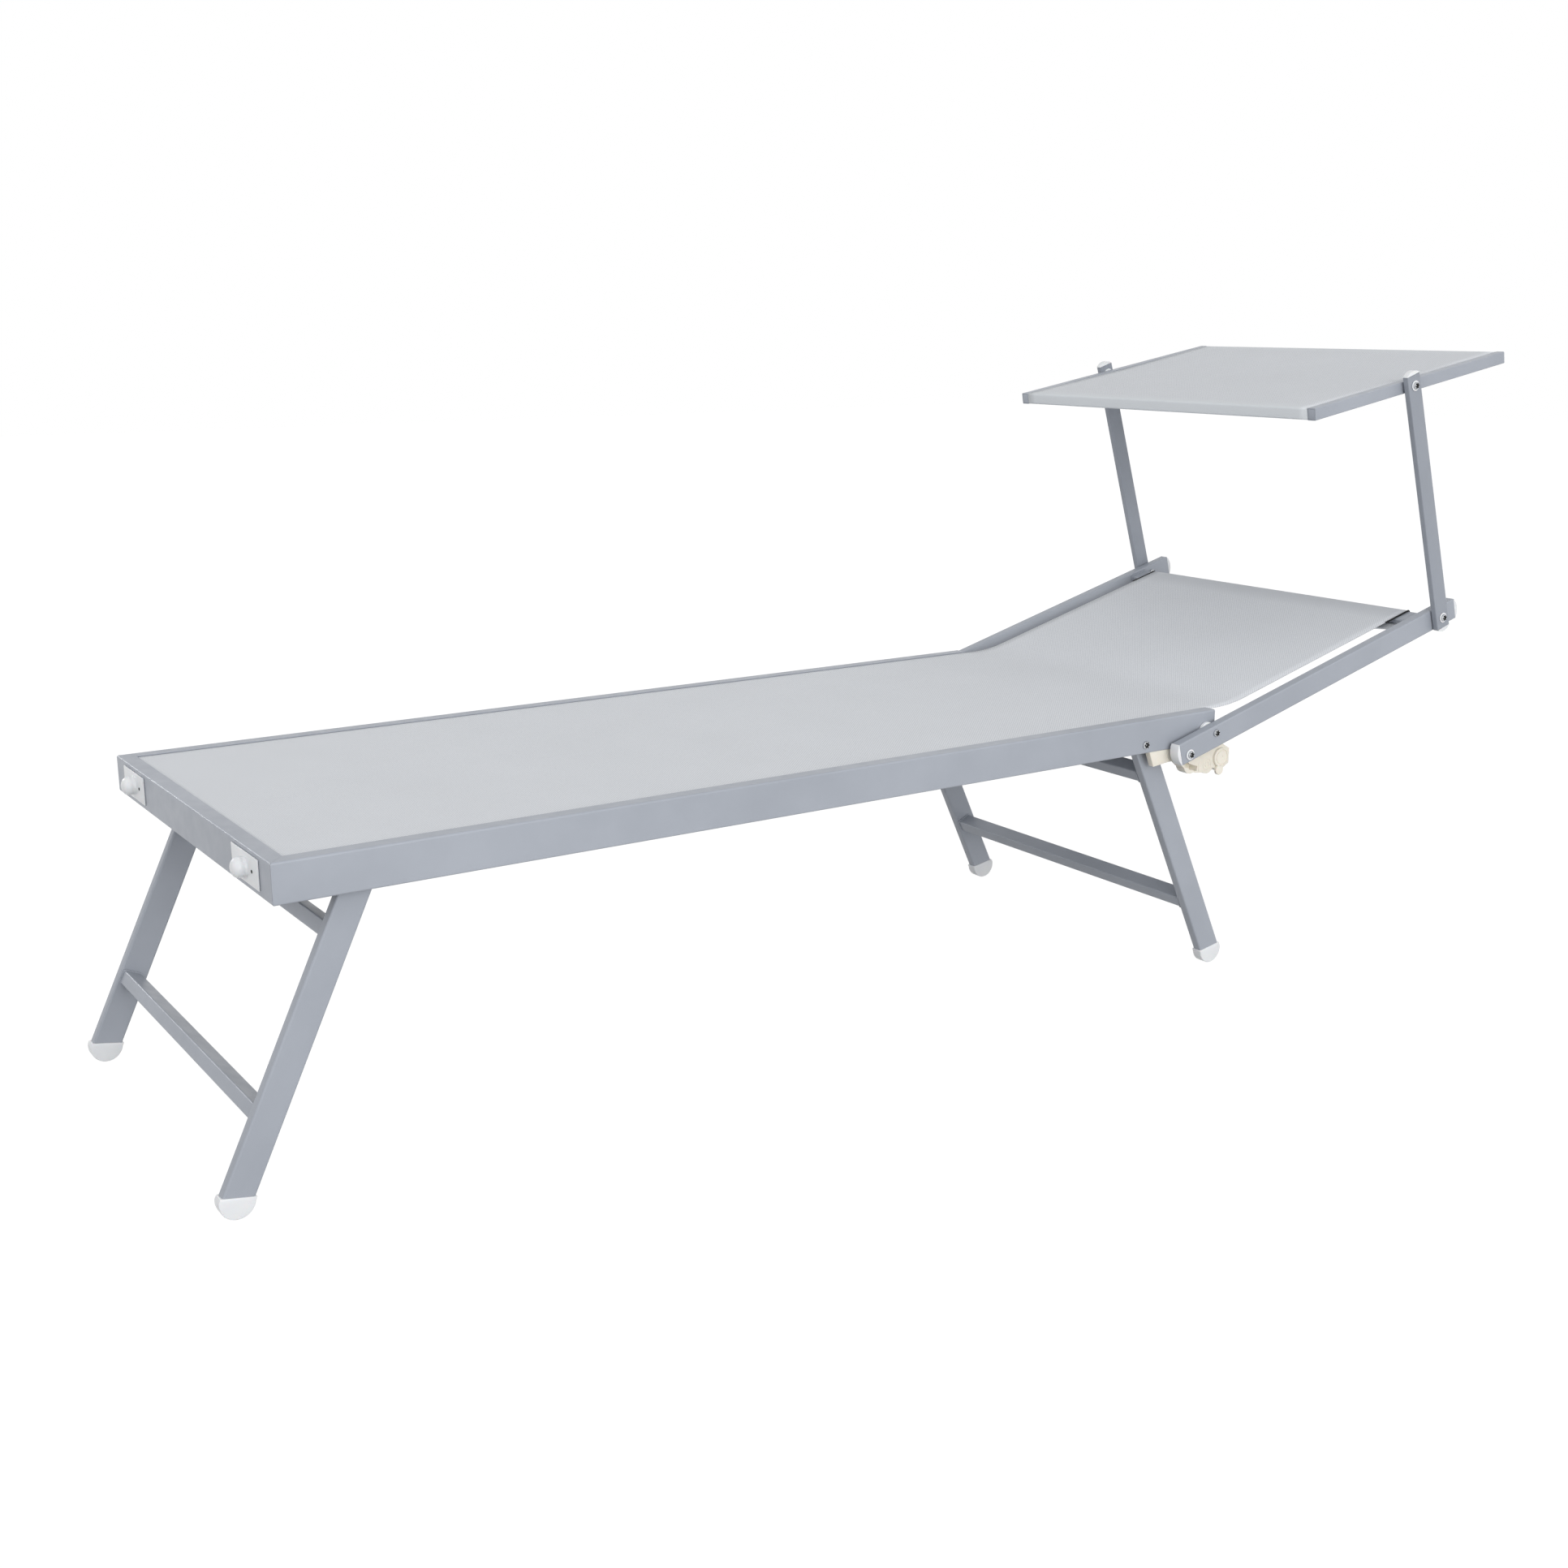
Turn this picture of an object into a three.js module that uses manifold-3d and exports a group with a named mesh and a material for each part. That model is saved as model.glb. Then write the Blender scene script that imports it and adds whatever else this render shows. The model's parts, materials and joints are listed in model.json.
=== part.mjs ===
// Sun lounger with a reclining backrest and a tilting canopy.
// Millimetres, +Z up. The foot end points to -Y and the head end to +Y, and +X is the right side.
// Inside this file y = 0 is the outer face of the foot rail; the last lines centre the whole lounger.
import * as THREE from 'three';
import { mergeVertices } from 'three/addons/utils/BufferGeometryUtils.js';
import Module from 'manifold-3d';

const wasm = await Module();
wasm.setup();

const degree = Math.PI / 180;

// Clearances
const gap = 0.3; // between neighbouring pieces
const overrun = 5; // how far a cutter reaches past what it cuts

// Numbers of steps
const cornerSteps = 3;
const arcSteps = 8;
const roundSteps = 16;
const mitreShare = 0.5; // least cosine of half a bend, so that a sharp one isn't drawn out

// Bed frame
const bedWidth = 600;
const seatHeight = 405.5;
const railLength = 1415;
const railHeight = 48.5;
const railWidth = 20;
const railWall = 1.5;
const railRadius = 2.5;

// Groove along the inner side of each rail, for the beaded edge of the sling
const grooveLip = 1.5;
const grooveOpening = 2.2;
const grooveInset = 5;
const grooveRadius = 3;

// Spreader bar between the side rails, below the sling
const spreaderDepth = 20;
const spreaderHeight = 20;
const spreaderDrop = 14; // from the rails' top to the bar's top
const spreaderShare = 0.495; // of the rails' length, from the foot end

// Sling
const slingThickness = 1.2;
const beadRadius = 2.3;
const seatOverhang = 13; // seat part past the rails' ends
const slingSplit = 3; // between the seat part and the back part
const slingFlatRun = 20; // level stretch past the rails' ends, before the bend
const pocketLength = 43.5; // from the head bar's front to the pocket's seam
const pocketSlack = 7; // of its lower layer below the head bar

// Bumpers on the foot rail, each a plate and a knob in one piece
const plateWidth = 88;
const plateHeight = 35.5;
const plateThickness = 1.5;
const plateRadius = 1.5;
const plateFromRailEnd = 82; // its middle, from the foot rail's end
const plateRise = 25; // of its middle above the rail's underside
const knobRadius = 11.8;
const knobNeck = 7.5;
const knobDome = 8.5;
const plateScrewRadius = 1.5;
const plateScrewHeadRadius = 2.4;
const plateScrewHead = 0.7;
const plateScrewSpread = 24;
const plateScrewReach = 6; // into the rail

// Leg frames
const legWidth = 36.5;
const legThickness = 15;
const legWall = 1.5;
const legRadius = 2.5;
const legSideGap = 1.8; // between a leg and its rail
const legLean = 25.2 * degree;
const legCutTilt = 9.9 * degree; // of the sawn end against the floor
const legTop = 14; // leg above its pivot
const legPivotRise = 12.7; // pivot above the rails' underside
const frontPivotY = 108.9;
const rearPivotFromRailEnd = 121.8;
const barDepth = 24;
const barHeight = 18;
const barWall = 1.2;
const barRadius = 2;
const upperBarDrop = 72; // along the leg, from the pivot to the bar
const rearUpperBarDrop = 57;
const lowerBarDrop = 289;
const frontBarOffset = -2.5; // towards the foot end from the leg's middle
const rearBarOffset = -4;
const collarRim = 1.6;
const collarThickness = 2;
const footBand = 5; // along the leg, above the half round
const footOverhang = 2;
const footSideRim = 1;
const footStem = 18;

// Leg pivots and stops
const legBoltRadius = 4;
const legBoltHeadRadius = 7;
const legBoltHead = 3.5;
const legNutRadius = 6;
const legNut = 3;
const legStopRadius = 4;
const legStopLength = 10; // inwards from the rail
const legStopDrop = 15.6; // along the leg, from the pivot

// Backrest
const backrestAngle = 15.2 * degree;
const pivotFromRailEnd = 19.2;
const pivotRise = 19.7; // above the rails' underside
const tubeHeight = 33;
const tubeWidth = 16;
const tubeWall = 1.5;
const tubeRadius = 2.2;
const tubeSideGap = 6.5; // between a side rail and its backrest tube
const tubeTail = 73; // in front of the pivot
const tubeReach = 543; // behind the pivot
const tubeDrop = 5.5; // of the tube's middle below the pivot
const slingRise = 7; // of the sling's upper side above the pivot's line
const headBarDepth = 35;
const headBarThickness = 8;
const headBarFromTubeEnd = 75;
const headCollarRim = 2.2;
const pivotBoltRadius = 4;
const pivotHeadRadius = 6;
const pivotHead = 3;
const pivotNutRadius = 6.5;
const pivotNut = 4;
const spacerRadius = 13;

// Stop pins, each in the curved slot of its recliner housing
const stopBack = 56.2; // in front of the pivot, along the tube
const stopDrop = 11.2; // below the pivot's line
const stopPinRadius = 3;
const stopPinReach = 13; // into the housing
const slotClearance = 0.6;
const slotDepth = 15;
const flatTurn = 12.6 * degree; // from the pose shown down to lying flat
const uprightTurn = 50 * degree; // from the pose shown up to the last stop
const stopCount = 6;
const stopNotch = 1.2; // depth of each notch in the slot's outer side

// Recliner housings: outlines run along (y, z) from the backrest pivot
const housingSideGap = 0.3; // inside the rail's hollow
const housingPlugReach = 128; // of the plug in front of the pivot
const housingBlockWidth = 9.2; // at the housing's outer side
const housingBlockFront = 108.4;
const housingBlockBack = 70;
const housingBlockDrop = 38.8;
const housingNoseDrop = 42;
const housingNoseBack = 99.5;
const housingBossRadius = 15.5;
const housingWebRadius = 64;
const housingLobeRadius = 14;
const housingLobeReach = 54;
const housingLobeTurns = [38 * degree, 75 * degree];
const hubBack = 36.6;
const hubDrop = 45.1;
const hubCasingRadius = 22;
const fixScrewFront = 118.4; // of the pivot
const fixScrewRise = 12.7; // above the rail's underside
const fixScrewRadius = 2.5;
const fixScrewHeadRadius = 6;
const fixScrewHead = 2.6;
const fixScrewReach = 10;

// Recliner catches
const catchRadius = 14.5;
const catchThickness = 4;
const catchShaftRadius = 4;
const catchCollarRadius = 7;
const catchCollar = 2;
const nubRadius = 7.5;
const nubReach = 19;
const nubTurn = 9 * degree; // towards the foot end

// Bolts of the posts and the canopy; their heads and rings also close the stop pins
const ringRadius = 7.8;
const ringThickness = 1;
const boltRadius = 3.5;
const boltHeadRadius = 5.6;
const boltHead = 3;
const boltNutRadius = 5.5;
const boltNut = 3.5;
const frictionRadius = 9.5;
const headChamferShare = 0.7; // of a bolt head's radius, left flat on top

// Domed end caps of the backrest tubes and the posts
const domeHeight = 6;
const domeStem = 10;

// Canopy posts
const postThickness = 10;
const postDepth = 28;
const postWall = 1.2;
const postRadius = 1.8;
const postFromTubeEnd = 43.8; // the lower bolt, along the backrest tube
const postDrop = 3;
const postLean = 2.2 * degree; // from the backrest tube's normal towards the foot end
const postSpan = 376.3; // between the bolts
const postEnd = 16; // past each bolt
const postSideGap = 1.5; // to the backrest tube

// Canopy
const canopyTurn = -7.4 * degree; // from the posts' normal
const canopyFront = 204;
const canopyBack = 230;
const canopyRailHeight = 18;
const canopyRailWidth = 15;
const canopyRailWall = 1.2;
const canopyRailRadius = 1.5;
const canopySideGap = 3.5; // between a post and its canopy rail
const canopyDrop = 2; // of the side rails' middle below their bolts
const canopyBarDepth = 15;
const canopyHem = 22;
const fabricThickness = 1.2;
const foldRadius = 2; // of fabric round a bar's edge

// Places worked out from the sizes above
const bedHalf = bedWidth / 2;
const railInner = bedHalf - railWidth;
const plateSpread = bedHalf - plateFromRailEnd;
const railBottom = seatHeight - railHeight;
const slingTop = seatHeight - grooveLip - (grooveOpening - slingThickness) / 2;
const grooveAxisZ = seatHeight - grooveLip - grooveRadius;
const legX = railInner - legSideGap - legThickness / 2;
const legPivotZ = railBottom + legPivotRise;
const legCut = legLean - legCutTilt;
const footRadius = legWidth / (2 * Math.cos(legCut)) + footOverhang;
const legReach = (legPivotZ - footRadius) / Math.cos(legLean) - footBand - gap;
const pivotY = railLength - pivotFromRailEnd;
const rearPivotY = railLength - rearPivotFromRailEnd;
const spreaderY = railLength * spreaderShare;
const pivotZ = railBottom + pivotRise;
const headBarAt = tubeReach - headBarFromTubeEnd;
const postAt = tubeReach - postFromTubeEnd;
const tubeInner = bedHalf + tubeSideGap;
const tubeX = tubeInner + tubeWidth / 2;
const tubeOuter = tubeInner + tubeWidth;
const postInner = tubeOuter + postSideGap;
const postX = postInner + postThickness / 2;
const postOuter = postInner + postThickness;
const canopyOuter = postInner - canopySideGap;
const canopyX = canopyOuter - canopyRailWidth / 2;
const canopyInner = canopyOuter - canopyRailWidth;
const stopRadius = Math.hypot(stopBack, stopDrop);
const stopAngle = Math.PI + Math.atan2(stopDrop, stopBack) + backrestAngle;
const housingX = bedHalf - railWidth / 2;
const housingHalf = railWidth / 2 - railWall - housingSideGap;
const grooveBlockRise = railHeight - grooveLip - 2 * grooveRadius - railWall;
const headBarTop = slingRise - slingThickness - gap;
const headBarMiddle = headBarTop - headBarThickness / 2;

// Finishes
const powderCoat = { color: 0xa9aeb7, roughness: 0.45, metalness: 0.55 };
const textile = { color: 0xc6cace, roughness: 0.85, metalness: 0 };
const whitePlastic = { color: 0xe3e5e8, roughness: 0.4, metalness: 0 };
const ivoryPlastic = { color: 0xe2dfd3, roughness: 0.5, metalness: 0 };
const steel = { color: 0x8f9296, roughness: 0.3, metalness: 0.9 };

// Joins and cuts

function solidOf(geometry) {
  const bare = geometry.clone();
  bare.deleteAttribute('normal');
  bare.deleteAttribute('uv');
  const merged = mergeVertices(bare);
  return new wasm.Manifold(new wasm.Mesh({
    numProp: 3,
    vertProperties: merged.attributes.position.array,
    triVerts: new Uint32Array(merged.index.array),
  }));
}

function geometryOf(solid) {
  const mesh = solid.getMesh();
  const geometry = new THREE.BufferGeometry();
  geometry.setAttribute('position', new THREE.BufferAttribute(mesh.vertProperties, 3));
  geometry.setIndex(new THREE.BufferAttribute(mesh.triVerts, 1));
  const flat = geometry.toNonIndexed();
  flat.computeVertexNormals();
  return flat;
}

function cut(geometry, cutters) {
  let solid = solidOf(geometry);
  for (const cutter of cutters) {
    solid = solid.subtract(solidOf(cutter));
  }
  return geometryOf(solid);
}

function join(geometries) {
  let solid = solidOf(geometries[0]);
  for (const geometry of geometries.slice(1)) {
    solid = solid.add(solidOf(geometry));
  }
  return geometryOf(solid);
}

// Outlines

function arc(centreX, centreY, radius, from, to, steps) {
  const points = [];
  for (let step = 0; step <= steps; step += 1) {
    const angle = from + ((to - from) * step) / steps;
    points.push(new THREE.Vector2(centreX + radius * Math.cos(angle), centreY + radius * Math.sin(angle)));
  }
  return points;
}

function roundedOutline(width, height, radius) {
  const x = width / 2 - radius;
  const y = height / 2 - radius;
  const quarter = Math.PI / 2;
  return [
    ...arc(x, -y, radius, -quarter, 0, cornerSteps),
    ...arc(x, y, radius, 0, quarter, cornerSteps),
    ...arc(-x, y, radius, quarter, 2 * quarter, cornerSteps),
    ...arc(-x, -y, radius, 2 * quarter, 3 * quarter, cornerSteps),
  ];
}

function plainOutline(width, height) {
  return [
    new THREE.Vector2(-width / 2, -height / 2),
    new THREE.Vector2(width / 2, -height / 2),
    new THREE.Vector2(width / 2, height / 2),
    new THREE.Vector2(-width / 2, height / 2),
  ];
}

// A ribbon of even thickness along a line of points.
function ribbonOutline(line, thickness) {
  const left = [];
  const right = [];
  line.forEach((point, index) => {
    const before = line[Math.max(index - 1, 0)];
    const after = line[Math.min(index + 1, line.length - 1)];
    const into = point.clone().sub(before).normalize();
    const out = after.clone().sub(point).normalize();
    const along = into.clone().add(out).normalize();
    const bend = Math.abs(into.lengthSq() > 0 ? into.dot(along) : out.dot(along));
    const turn = Math.max(bend, mitreShare);
    const side = new THREE.Vector2(-along.y, along.x).multiplyScalar(thickness / (2 * turn));
    left.push(point.clone().add(side));
    right.push(point.clone().sub(side));
  });
  return [...right, ...left.reverse()];
}

// Solids

const acrossFrame = new THREE.Matrix4().makeBasis(
  new THREE.Vector3(0, 1, 0),
  new THREE.Vector3(0, 0, 1),
  new THREE.Vector3(1, 0, 0),
);

function extrude(shape, length) {
  return new THREE.ExtrudeGeometry(shape, { depth: length, bevelEnabled: false });
}

// An outline in (y, z), extruded along x and centred there.
function across(outline, width) {
  return extrude(new THREE.Shape(outline), width).translate(0, 0, -width / 2).applyMatrix4(acrossFrame);
}

function box(width, depth, height) {
  return new THREE.BoxGeometry(width, depth, height);
}

// A round bar along x, centred there.
function roundBar(radius, length, steps = roundSteps) {
  return new THREE.CylinderGeometry(radius, radius, length, steps).rotateZ(Math.PI / 2);
}

function hollowShape(width, height, radius, wall) {
  const shape = new THREE.Shape(roundedOutline(width, height, radius));
  shape.holes.push(new THREE.Path(plainOutline(width - 2 * wall, height - 2 * wall)));
  return shape;
}

// A hollow tube along +y from zero, width in x and height in z.
function tubeAlongY(width, height, radius, wall, length) {
  return extrude(hollowShape(width, height, radius, wall), length).rotateX(-Math.PI / 2);
}

// A hollow tube along x, centred, depth in y and height in z.
function tubeAlongX(depth, height, radius, wall, length) {
  return extrude(hollowShape(height, depth, radius, wall), length)
    .translate(0, 0, -length / 2)
    .rotateY(Math.PI / 2);
}

// A turned piece on the x axis; its profile lists [radius, x] from one end to the other.
function turned(profile, steps = roundSteps) {
  const points = profile.map(([radius, along]) => new THREE.Vector2(radius, along));
  return new THREE.LatheGeometry(points, steps).rotateZ(-Math.PI / 2);
}

// A ring on the x axis from one x to another.
function ring(inner, outer, from, to) {
  return turned([[inner, from], [outer, from], [outer, to], [inner, to], [inner, from]]);
}

// The last points of a bolt's profile: its chamfered head, from its seat outwards.
function headProfile(radius, height, seat) {
  return [
    [radius, seat],
    [radius, seat + height / 2],
    [radius * headChamferShare, seat + height],
    [0, seat + height],
  ];
}

// The first points of a bolt's profile: its nut, up to the face that it bears on.
function nutProfile(radius, height, face) {
  return [
    [0, face - height],
    [radius, face - height],
    [radius, face],
  ];
}

// The ring and the head on the outer face of a tube.
function ringedHeadProfile(seat) {
  return [
    [ringRadius, seat],
    [ringRadius, seat + ringThickness],
    ...headProfile(boltHeadRadius, boltHead, seat + ringThickness),
  ];
}

function piece(name, geometry, finish) {
  const mesh = new THREE.Mesh(geometry, new THREE.MeshStandardMaterial({ ...finish, flatShading: true }));
  mesh.name = name;
  return mesh;
}

// The same geometry on the right and, mirrored, on the left.
function pair(name, geometry, finish) {
  const right = piece(`${name}_right`, geometry, finish);
  const left = piece(`${name}_left`, geometry, finish);
  left.scale.x = -1;
  return [right, left];
}

// Bed frame

// The rail's section: u runs from the inner face outwards, v up from the underside.
function railShape() {
  const quarter = Math.PI / 2;
  const low = railRadius;
  const right = railWidth - railRadius;
  const high = railHeight - railRadius;
  const lipBottom = railHeight - grooveLip;
  const openingBottom = lipBottom - grooveOpening;
  const axis = lipBottom - grooveRadius;
  const mouth = Math.asin((openingBottom - axis) / grooveRadius);
  const outline = [
    ...arc(low, low, railRadius, 2 * quarter, 3 * quarter, cornerSteps),
    ...arc(right, low, railRadius, -quarter, 0, cornerSteps),
    ...arc(right, high, railRadius, 0, quarter, cornerSteps),
    new THREE.Vector2(0, railHeight),
    new THREE.Vector2(0, lipBottom),
    ...arc(grooveInset, axis, grooveRadius, quarter, -Math.PI - mouth, roundSteps),
    new THREE.Vector2(0, openingBottom),
  ];
  const blockSide = grooveInset + grooveRadius + railWall;
  const blockBottom = grooveBlockRise;
  const hollow = [
    new THREE.Vector2(railWall, railWall),
    new THREE.Vector2(railWidth - railWall, railWall),
    new THREE.Vector2(railWidth - railWall, railHeight - railWall),
    new THREE.Vector2(blockSide, railHeight - railWall),
    new THREE.Vector2(blockSide, blockBottom),
    new THREE.Vector2(railWall, blockBottom),
  ];
  const shape = new THREE.Shape(outline);
  shape.holes.push(new THREE.Path(hollow));
  return shape;
}

// Moves the vertices at the ends of a straight extrusion onto a mitre.
function mitre(geometry, isEnd, place) {
  const points = geometry.attributes.position;
  for (let index = 0; index < points.count; index += 1) {
    const point = new THREE.Vector3().fromBufferAttribute(points, index);
    if (isEnd(point)) {
      place(point);
      points.setXYZ(index, point.x, point.y, point.z);
    }
  }
  return geometry;
}

function sideRailBody() {
  const uprightFrame = new THREE.Matrix4().makeBasis(
    new THREE.Vector3(1, 0, 0),
    new THREE.Vector3(0, 0, 1),
    new THREE.Vector3(0, -1, 0),
  );
  const rail = extrude(railShape(), railLength)
    .applyMatrix4(uprightFrame)
    .translate(railInner, railLength, railBottom);
  return mitre(
    rail,
    (point) => point.y < railLength / 2,
    (point) => {
      point.y = bedHalf - point.x + gap / 2;
    },
  );
}

function annularSector(inner, outer, from, to, width) {
  const outline = [
    ...arc(0, 0, outer, from, to, 2 * arcSteps),
    ...arc(0, 0, inner, to, from, 2 * arcSteps),
  ];
  return across(outline, width);
}

// The curved slot of the stop pin, about the pivot, with its row of notches.
function slotCutter(width) {
  const half = stopPinRadius + slotClearance;
  const margin = Math.asin(half / stopRadius);
  const from = stopAngle - flatTurn - margin;
  const to = stopAngle + uprightTurn + margin;
  const parts = [annularSector(stopRadius - half, stopRadius + half, from, to, width)];
  for (let step = 0; step < stopCount; step += 1) {
    const turn = stopAngle + (uprightTurn * step) / (stopCount - 1);
    const reach = stopRadius + stopNotch;
    const notch = roundBar(half, width).translate(0, reach * Math.cos(turn), reach * Math.sin(turn));
    parts.push(notch);
  }
  return join(parts);
}

// Where a leg frame rests against its stop, on the leg's outer side.
function legStopPlace(outward, pivotPlace) {
  const aside = legWidth / 2 + gap + legStopRadius;
  return new THREE.Vector2(
    pivotPlace + outward * (legStopDrop * Math.sin(legLean) + aside * Math.cos(legLean)),
    legPivotZ - legStopDrop * Math.cos(legLean) + aside * Math.sin(legLean),
  );
}

// A stud riveted into the rail's inner wall.
function legStop(outward, pivotPlace) {
  const place = legStopPlace(outward, pivotPlace);
  const length = legStopLength + railWall / 2;
  return roundBar(legStopRadius, length).translate(railInner - legStopLength + length / 2, place.x, place.y);
}

// The opening in the rail's underside that lets the recliner housing hang out.
function housingOpening() {
  const length = housingBlockFront + pivotFromRailEnd + gap;
  return box(railWidth - 2 * railWall, length + overrun, railWall + gap + overrun).translate(
    housingX,
    railLength - length / 2 + overrun / 2,
    railBottom + (railWall + gap - overrun) / 2,
  );
}

function sideRails() {
  const wallBar = (radius) => roundBar(radius + gap, railWall + 2 * overrun);
  const outerWall = bedHalf + overrun / 2;
  const innerWall = railInner - overrun / 2;
  const openings = [
    housingOpening(),
    slotCutter(railWall + overrun).translate(bedHalf - railWall / 2, pivotY, pivotZ),
    roundBar(pivotBoltRadius + gap, railWidth + 2 * overrun).translate(housingX, pivotY, pivotZ),
    wallBar(fixScrewRadius).translate(outerWall, pivotY - fixScrewFront, railBottom + fixScrewRise),
    wallBar(legBoltRadius).translate(innerWall, frontPivotY, legPivotZ),
    wallBar(legBoltRadius).translate(innerWall, rearPivotY, legPivotZ),
  ];
  const studs = [legStop(-1, frontPivotY), legStop(1, rearPivotY)];
  return pair('side_rail', join([cut(sideRailBody(), openings), ...studs]), powderCoat);
}

function footRail() {
  // The drawing's x goes to -y, so that it grows from the rail's inner face outwards.
  const frame = new THREE.Matrix4().makeBasis(
    new THREE.Vector3(0, -1, 0),
    new THREE.Vector3(0, 0, 1),
    new THREE.Vector3(-1, 0, 0),
  );
  const rail = extrude(railShape(), bedWidth)
    .translate(0, 0, -bedHalf)
    .applyMatrix4(frame)
    .translate(0, railWidth, railBottom);
  const mitred = mitre(
    rail,
    () => true,
    (point) => {
      point.x = Math.sign(point.x) * (bedHalf - point.y - gap / 2);
    },
  );
  const holes = [];
  for (const side of [-1, 1]) {
    for (const place of [-1, 1]) {
      const hole = new THREE.CylinderGeometry(
        plateScrewRadius + gap,
        plateScrewRadius + gap,
        2 * overrun,
        arcSteps,
      );
      holes.push(hole.translate(side * plateSpread + place * plateScrewSpread, 0, railBottom + plateRise));
    }
  }
  return piece('foot_rail', cut(mitred, holes), powderCoat);
}

function spreader() {
  const length = 2 * (railInner - gap);
  const bar = tubeAlongX(spreaderDepth, spreaderHeight, barRadius, barWall, length);
  const middleZ = seatHeight - spreaderDrop - spreaderHeight / 2;
  return piece('spreader_bar', bar.translate(0, spreaderY, middleZ), powderCoat);
}

function slingSeat() {
  const grooveX = railInner + grooveInset;
  const grooveY = railWidth - grooveInset;
  const width = 2 * (railInner - gap);
  const end = railLength + seatOverhang;
  const sheetZ = slingTop - slingThickness / 2;
  const beadStart = railWidth + gap;
  const beadLength = railLength - beadStart;
  const beadMiddle = beadStart + beadLength / 2;
  const parts = [
    box(width, end - grooveY, slingThickness).translate(0, (end + grooveY) / 2, sheetZ),
    box(2 * grooveX, beadLength, slingThickness).translate(0, beadMiddle, sheetZ),
    roundBar(beadRadius, width).translate(0, grooveY, grooveAxisZ),
  ];
  for (const side of [-1, 1]) {
    const bead = new THREE.CylinderGeometry(beadRadius, beadRadius, beadLength, roundSteps);
    parts.push(bead.translate(side * grooveX, beadMiddle, grooveAxisZ));
  }
  return piece('sling_seat', join(parts), textile);
}

// A turned piece that points from the foot rail's outer face towards the foot end.
function turnedOutwards(profile, steps) {
  return turned(profile, steps).rotateZ(-Math.PI / 2);
}

function knobGeometry() {
  const face = gap + plateThickness;
  const top = face + knobNeck;
  const profile = [
    [0, face - plateThickness / 2],
    [knobRadius, face - plateThickness / 2],
    [knobRadius, top],
  ];
  for (let step = 1; step < cornerSteps * 2; step += 1) {
    const angle = (Math.PI / 2) * (step / (cornerSteps * 2));
    profile.push([knobRadius * Math.cos(angle), top + knobDome * Math.sin(angle)]);
  }
  profile.push([0, top + knobDome]);
  return turnedOutwards(profile, roundSteps);
}

function plateScrew() {
  const seat = gap + plateThickness / 2;
  const top = gap + plateThickness + plateScrewHead;
  return turnedOutwards([
    [0, -plateScrewReach],
    [plateScrewRadius, -plateScrewReach],
    [plateScrewRadius, seat],
    [plateScrewHeadRadius, seat],
    [plateScrewHeadRadius, top - plateScrewHead / 2],
    [plateScrewHeadRadius * headChamferShare, top],
    [0, top],
  ], arcSteps);
}

// Plate, knob and the heads of its two screws.
function bumpers() {
  const outline = roundedOutline(plateWidth, plateHeight, plateRadius);
  const plate = extrude(new THREE.Shape(outline), plateThickness).rotateX(Math.PI / 2).translate(0, -gap, 0);
  const parts = [plate, knobGeometry()];
  for (const place of [-1, 1]) {
    parts.push(plateScrew().translate(place * plateScrewSpread, 0, 0));
  }
  const bumper = join(parts).translate(plateSpread, 0, railBottom + plateRise);
  return pair('bumper', bumper, whitePlastic);
}

// Recliner housings and catches

function housingGeometry() {
  const width = 2 * housingHalf;
  const underside = railBottom - pivotZ;
  const plugFrom = -housingPlugReach;
  const plugTo = pivotFromRailEnd;
  const plugLow = underside + railWall + gap;
  const plugHigh = underside + grooveBlockRise - gap;
  const plug = box(width, plugTo - plugFrom, plugHigh - plugLow)
    .translate(0, (plugTo + plugFrom) / 2, (plugHigh + plugLow) / 2);
  const block = across([
    new THREE.Vector2(-housingBlockFront, plugHigh - overrun),
    new THREE.Vector2(-housingBlockFront, underside),
    new THREE.Vector2(-housingNoseBack, -housingNoseDrop),
    new THREE.Vector2(-housingBlockBack, -housingBlockDrop),
    new THREE.Vector2(0, -housingBlockDrop),
    new THREE.Vector2(0, plugHigh - overrun),
  ], housingBlockWidth).translate(housingHalf - housingBlockWidth / 2, 0, 0);
  const stopY = stopRadius * Math.cos(stopAngle);
  const stopZ = stopRadius * Math.sin(stopAngle);
  const boss = roundBar(housingBossRadius, width).translate(0, stopY, stopZ);
  const web = across([
    new THREE.Vector2(0, 0),
    ...arc(0, 0, housingWebRadius, stopAngle, Math.atan2(-hubDrop, hubBack) + 2 * Math.PI, 2 * arcSteps),
  ], width);
  const lobes = housingLobeTurns.map((turn) =>
    roundBar(housingLobeRadius, width).translate(
      0,
      housingLobeReach * Math.cos(stopAngle + turn),
      housingLobeReach * Math.sin(stopAngle + turn),
    ));
  const casing = new THREE.CylinderGeometry(hubCasingRadius, hubCasingRadius, width, 6)
    .rotateZ(Math.PI / 2)
    .translate(0, hubBack, -hubDrop);
  return join([plug, block, boss, web, ...lobes, casing]);
}

function housings() {
  const slot = slotCutter(slotDepth + overrun).translate(housingHalf - slotDepth / 2 + overrun / 2, 0, 0);
  const pivotHole = roundBar(pivotBoltRadius + gap, railWidth);
  const hubHole = roundBar(catchShaftRadius + gap, railWidth).translate(0, hubBack, -hubDrop);
  const screwZ = railBottom + fixScrewRise - pivotZ;
  const screwHole = roundBar(fixScrewRadius + gap, railWidth).translate(0, -fixScrewFront, screwZ);
  const nutPocket = roundBar(legNutRadius + gap, legNut + gap + overrun)
    .translate(-housingHalf + (legNut + gap - overrun) / 2, rearPivotY - pivotY, legPivotZ - pivotZ);
  const housing = cut(housingGeometry(), [slot, pivotHole, hubHole, screwHole, nutPocket]);
  return pair('recliner_housing', housing.translate(housingX, pivotY, pivotZ), ivoryPlastic);
}

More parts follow.
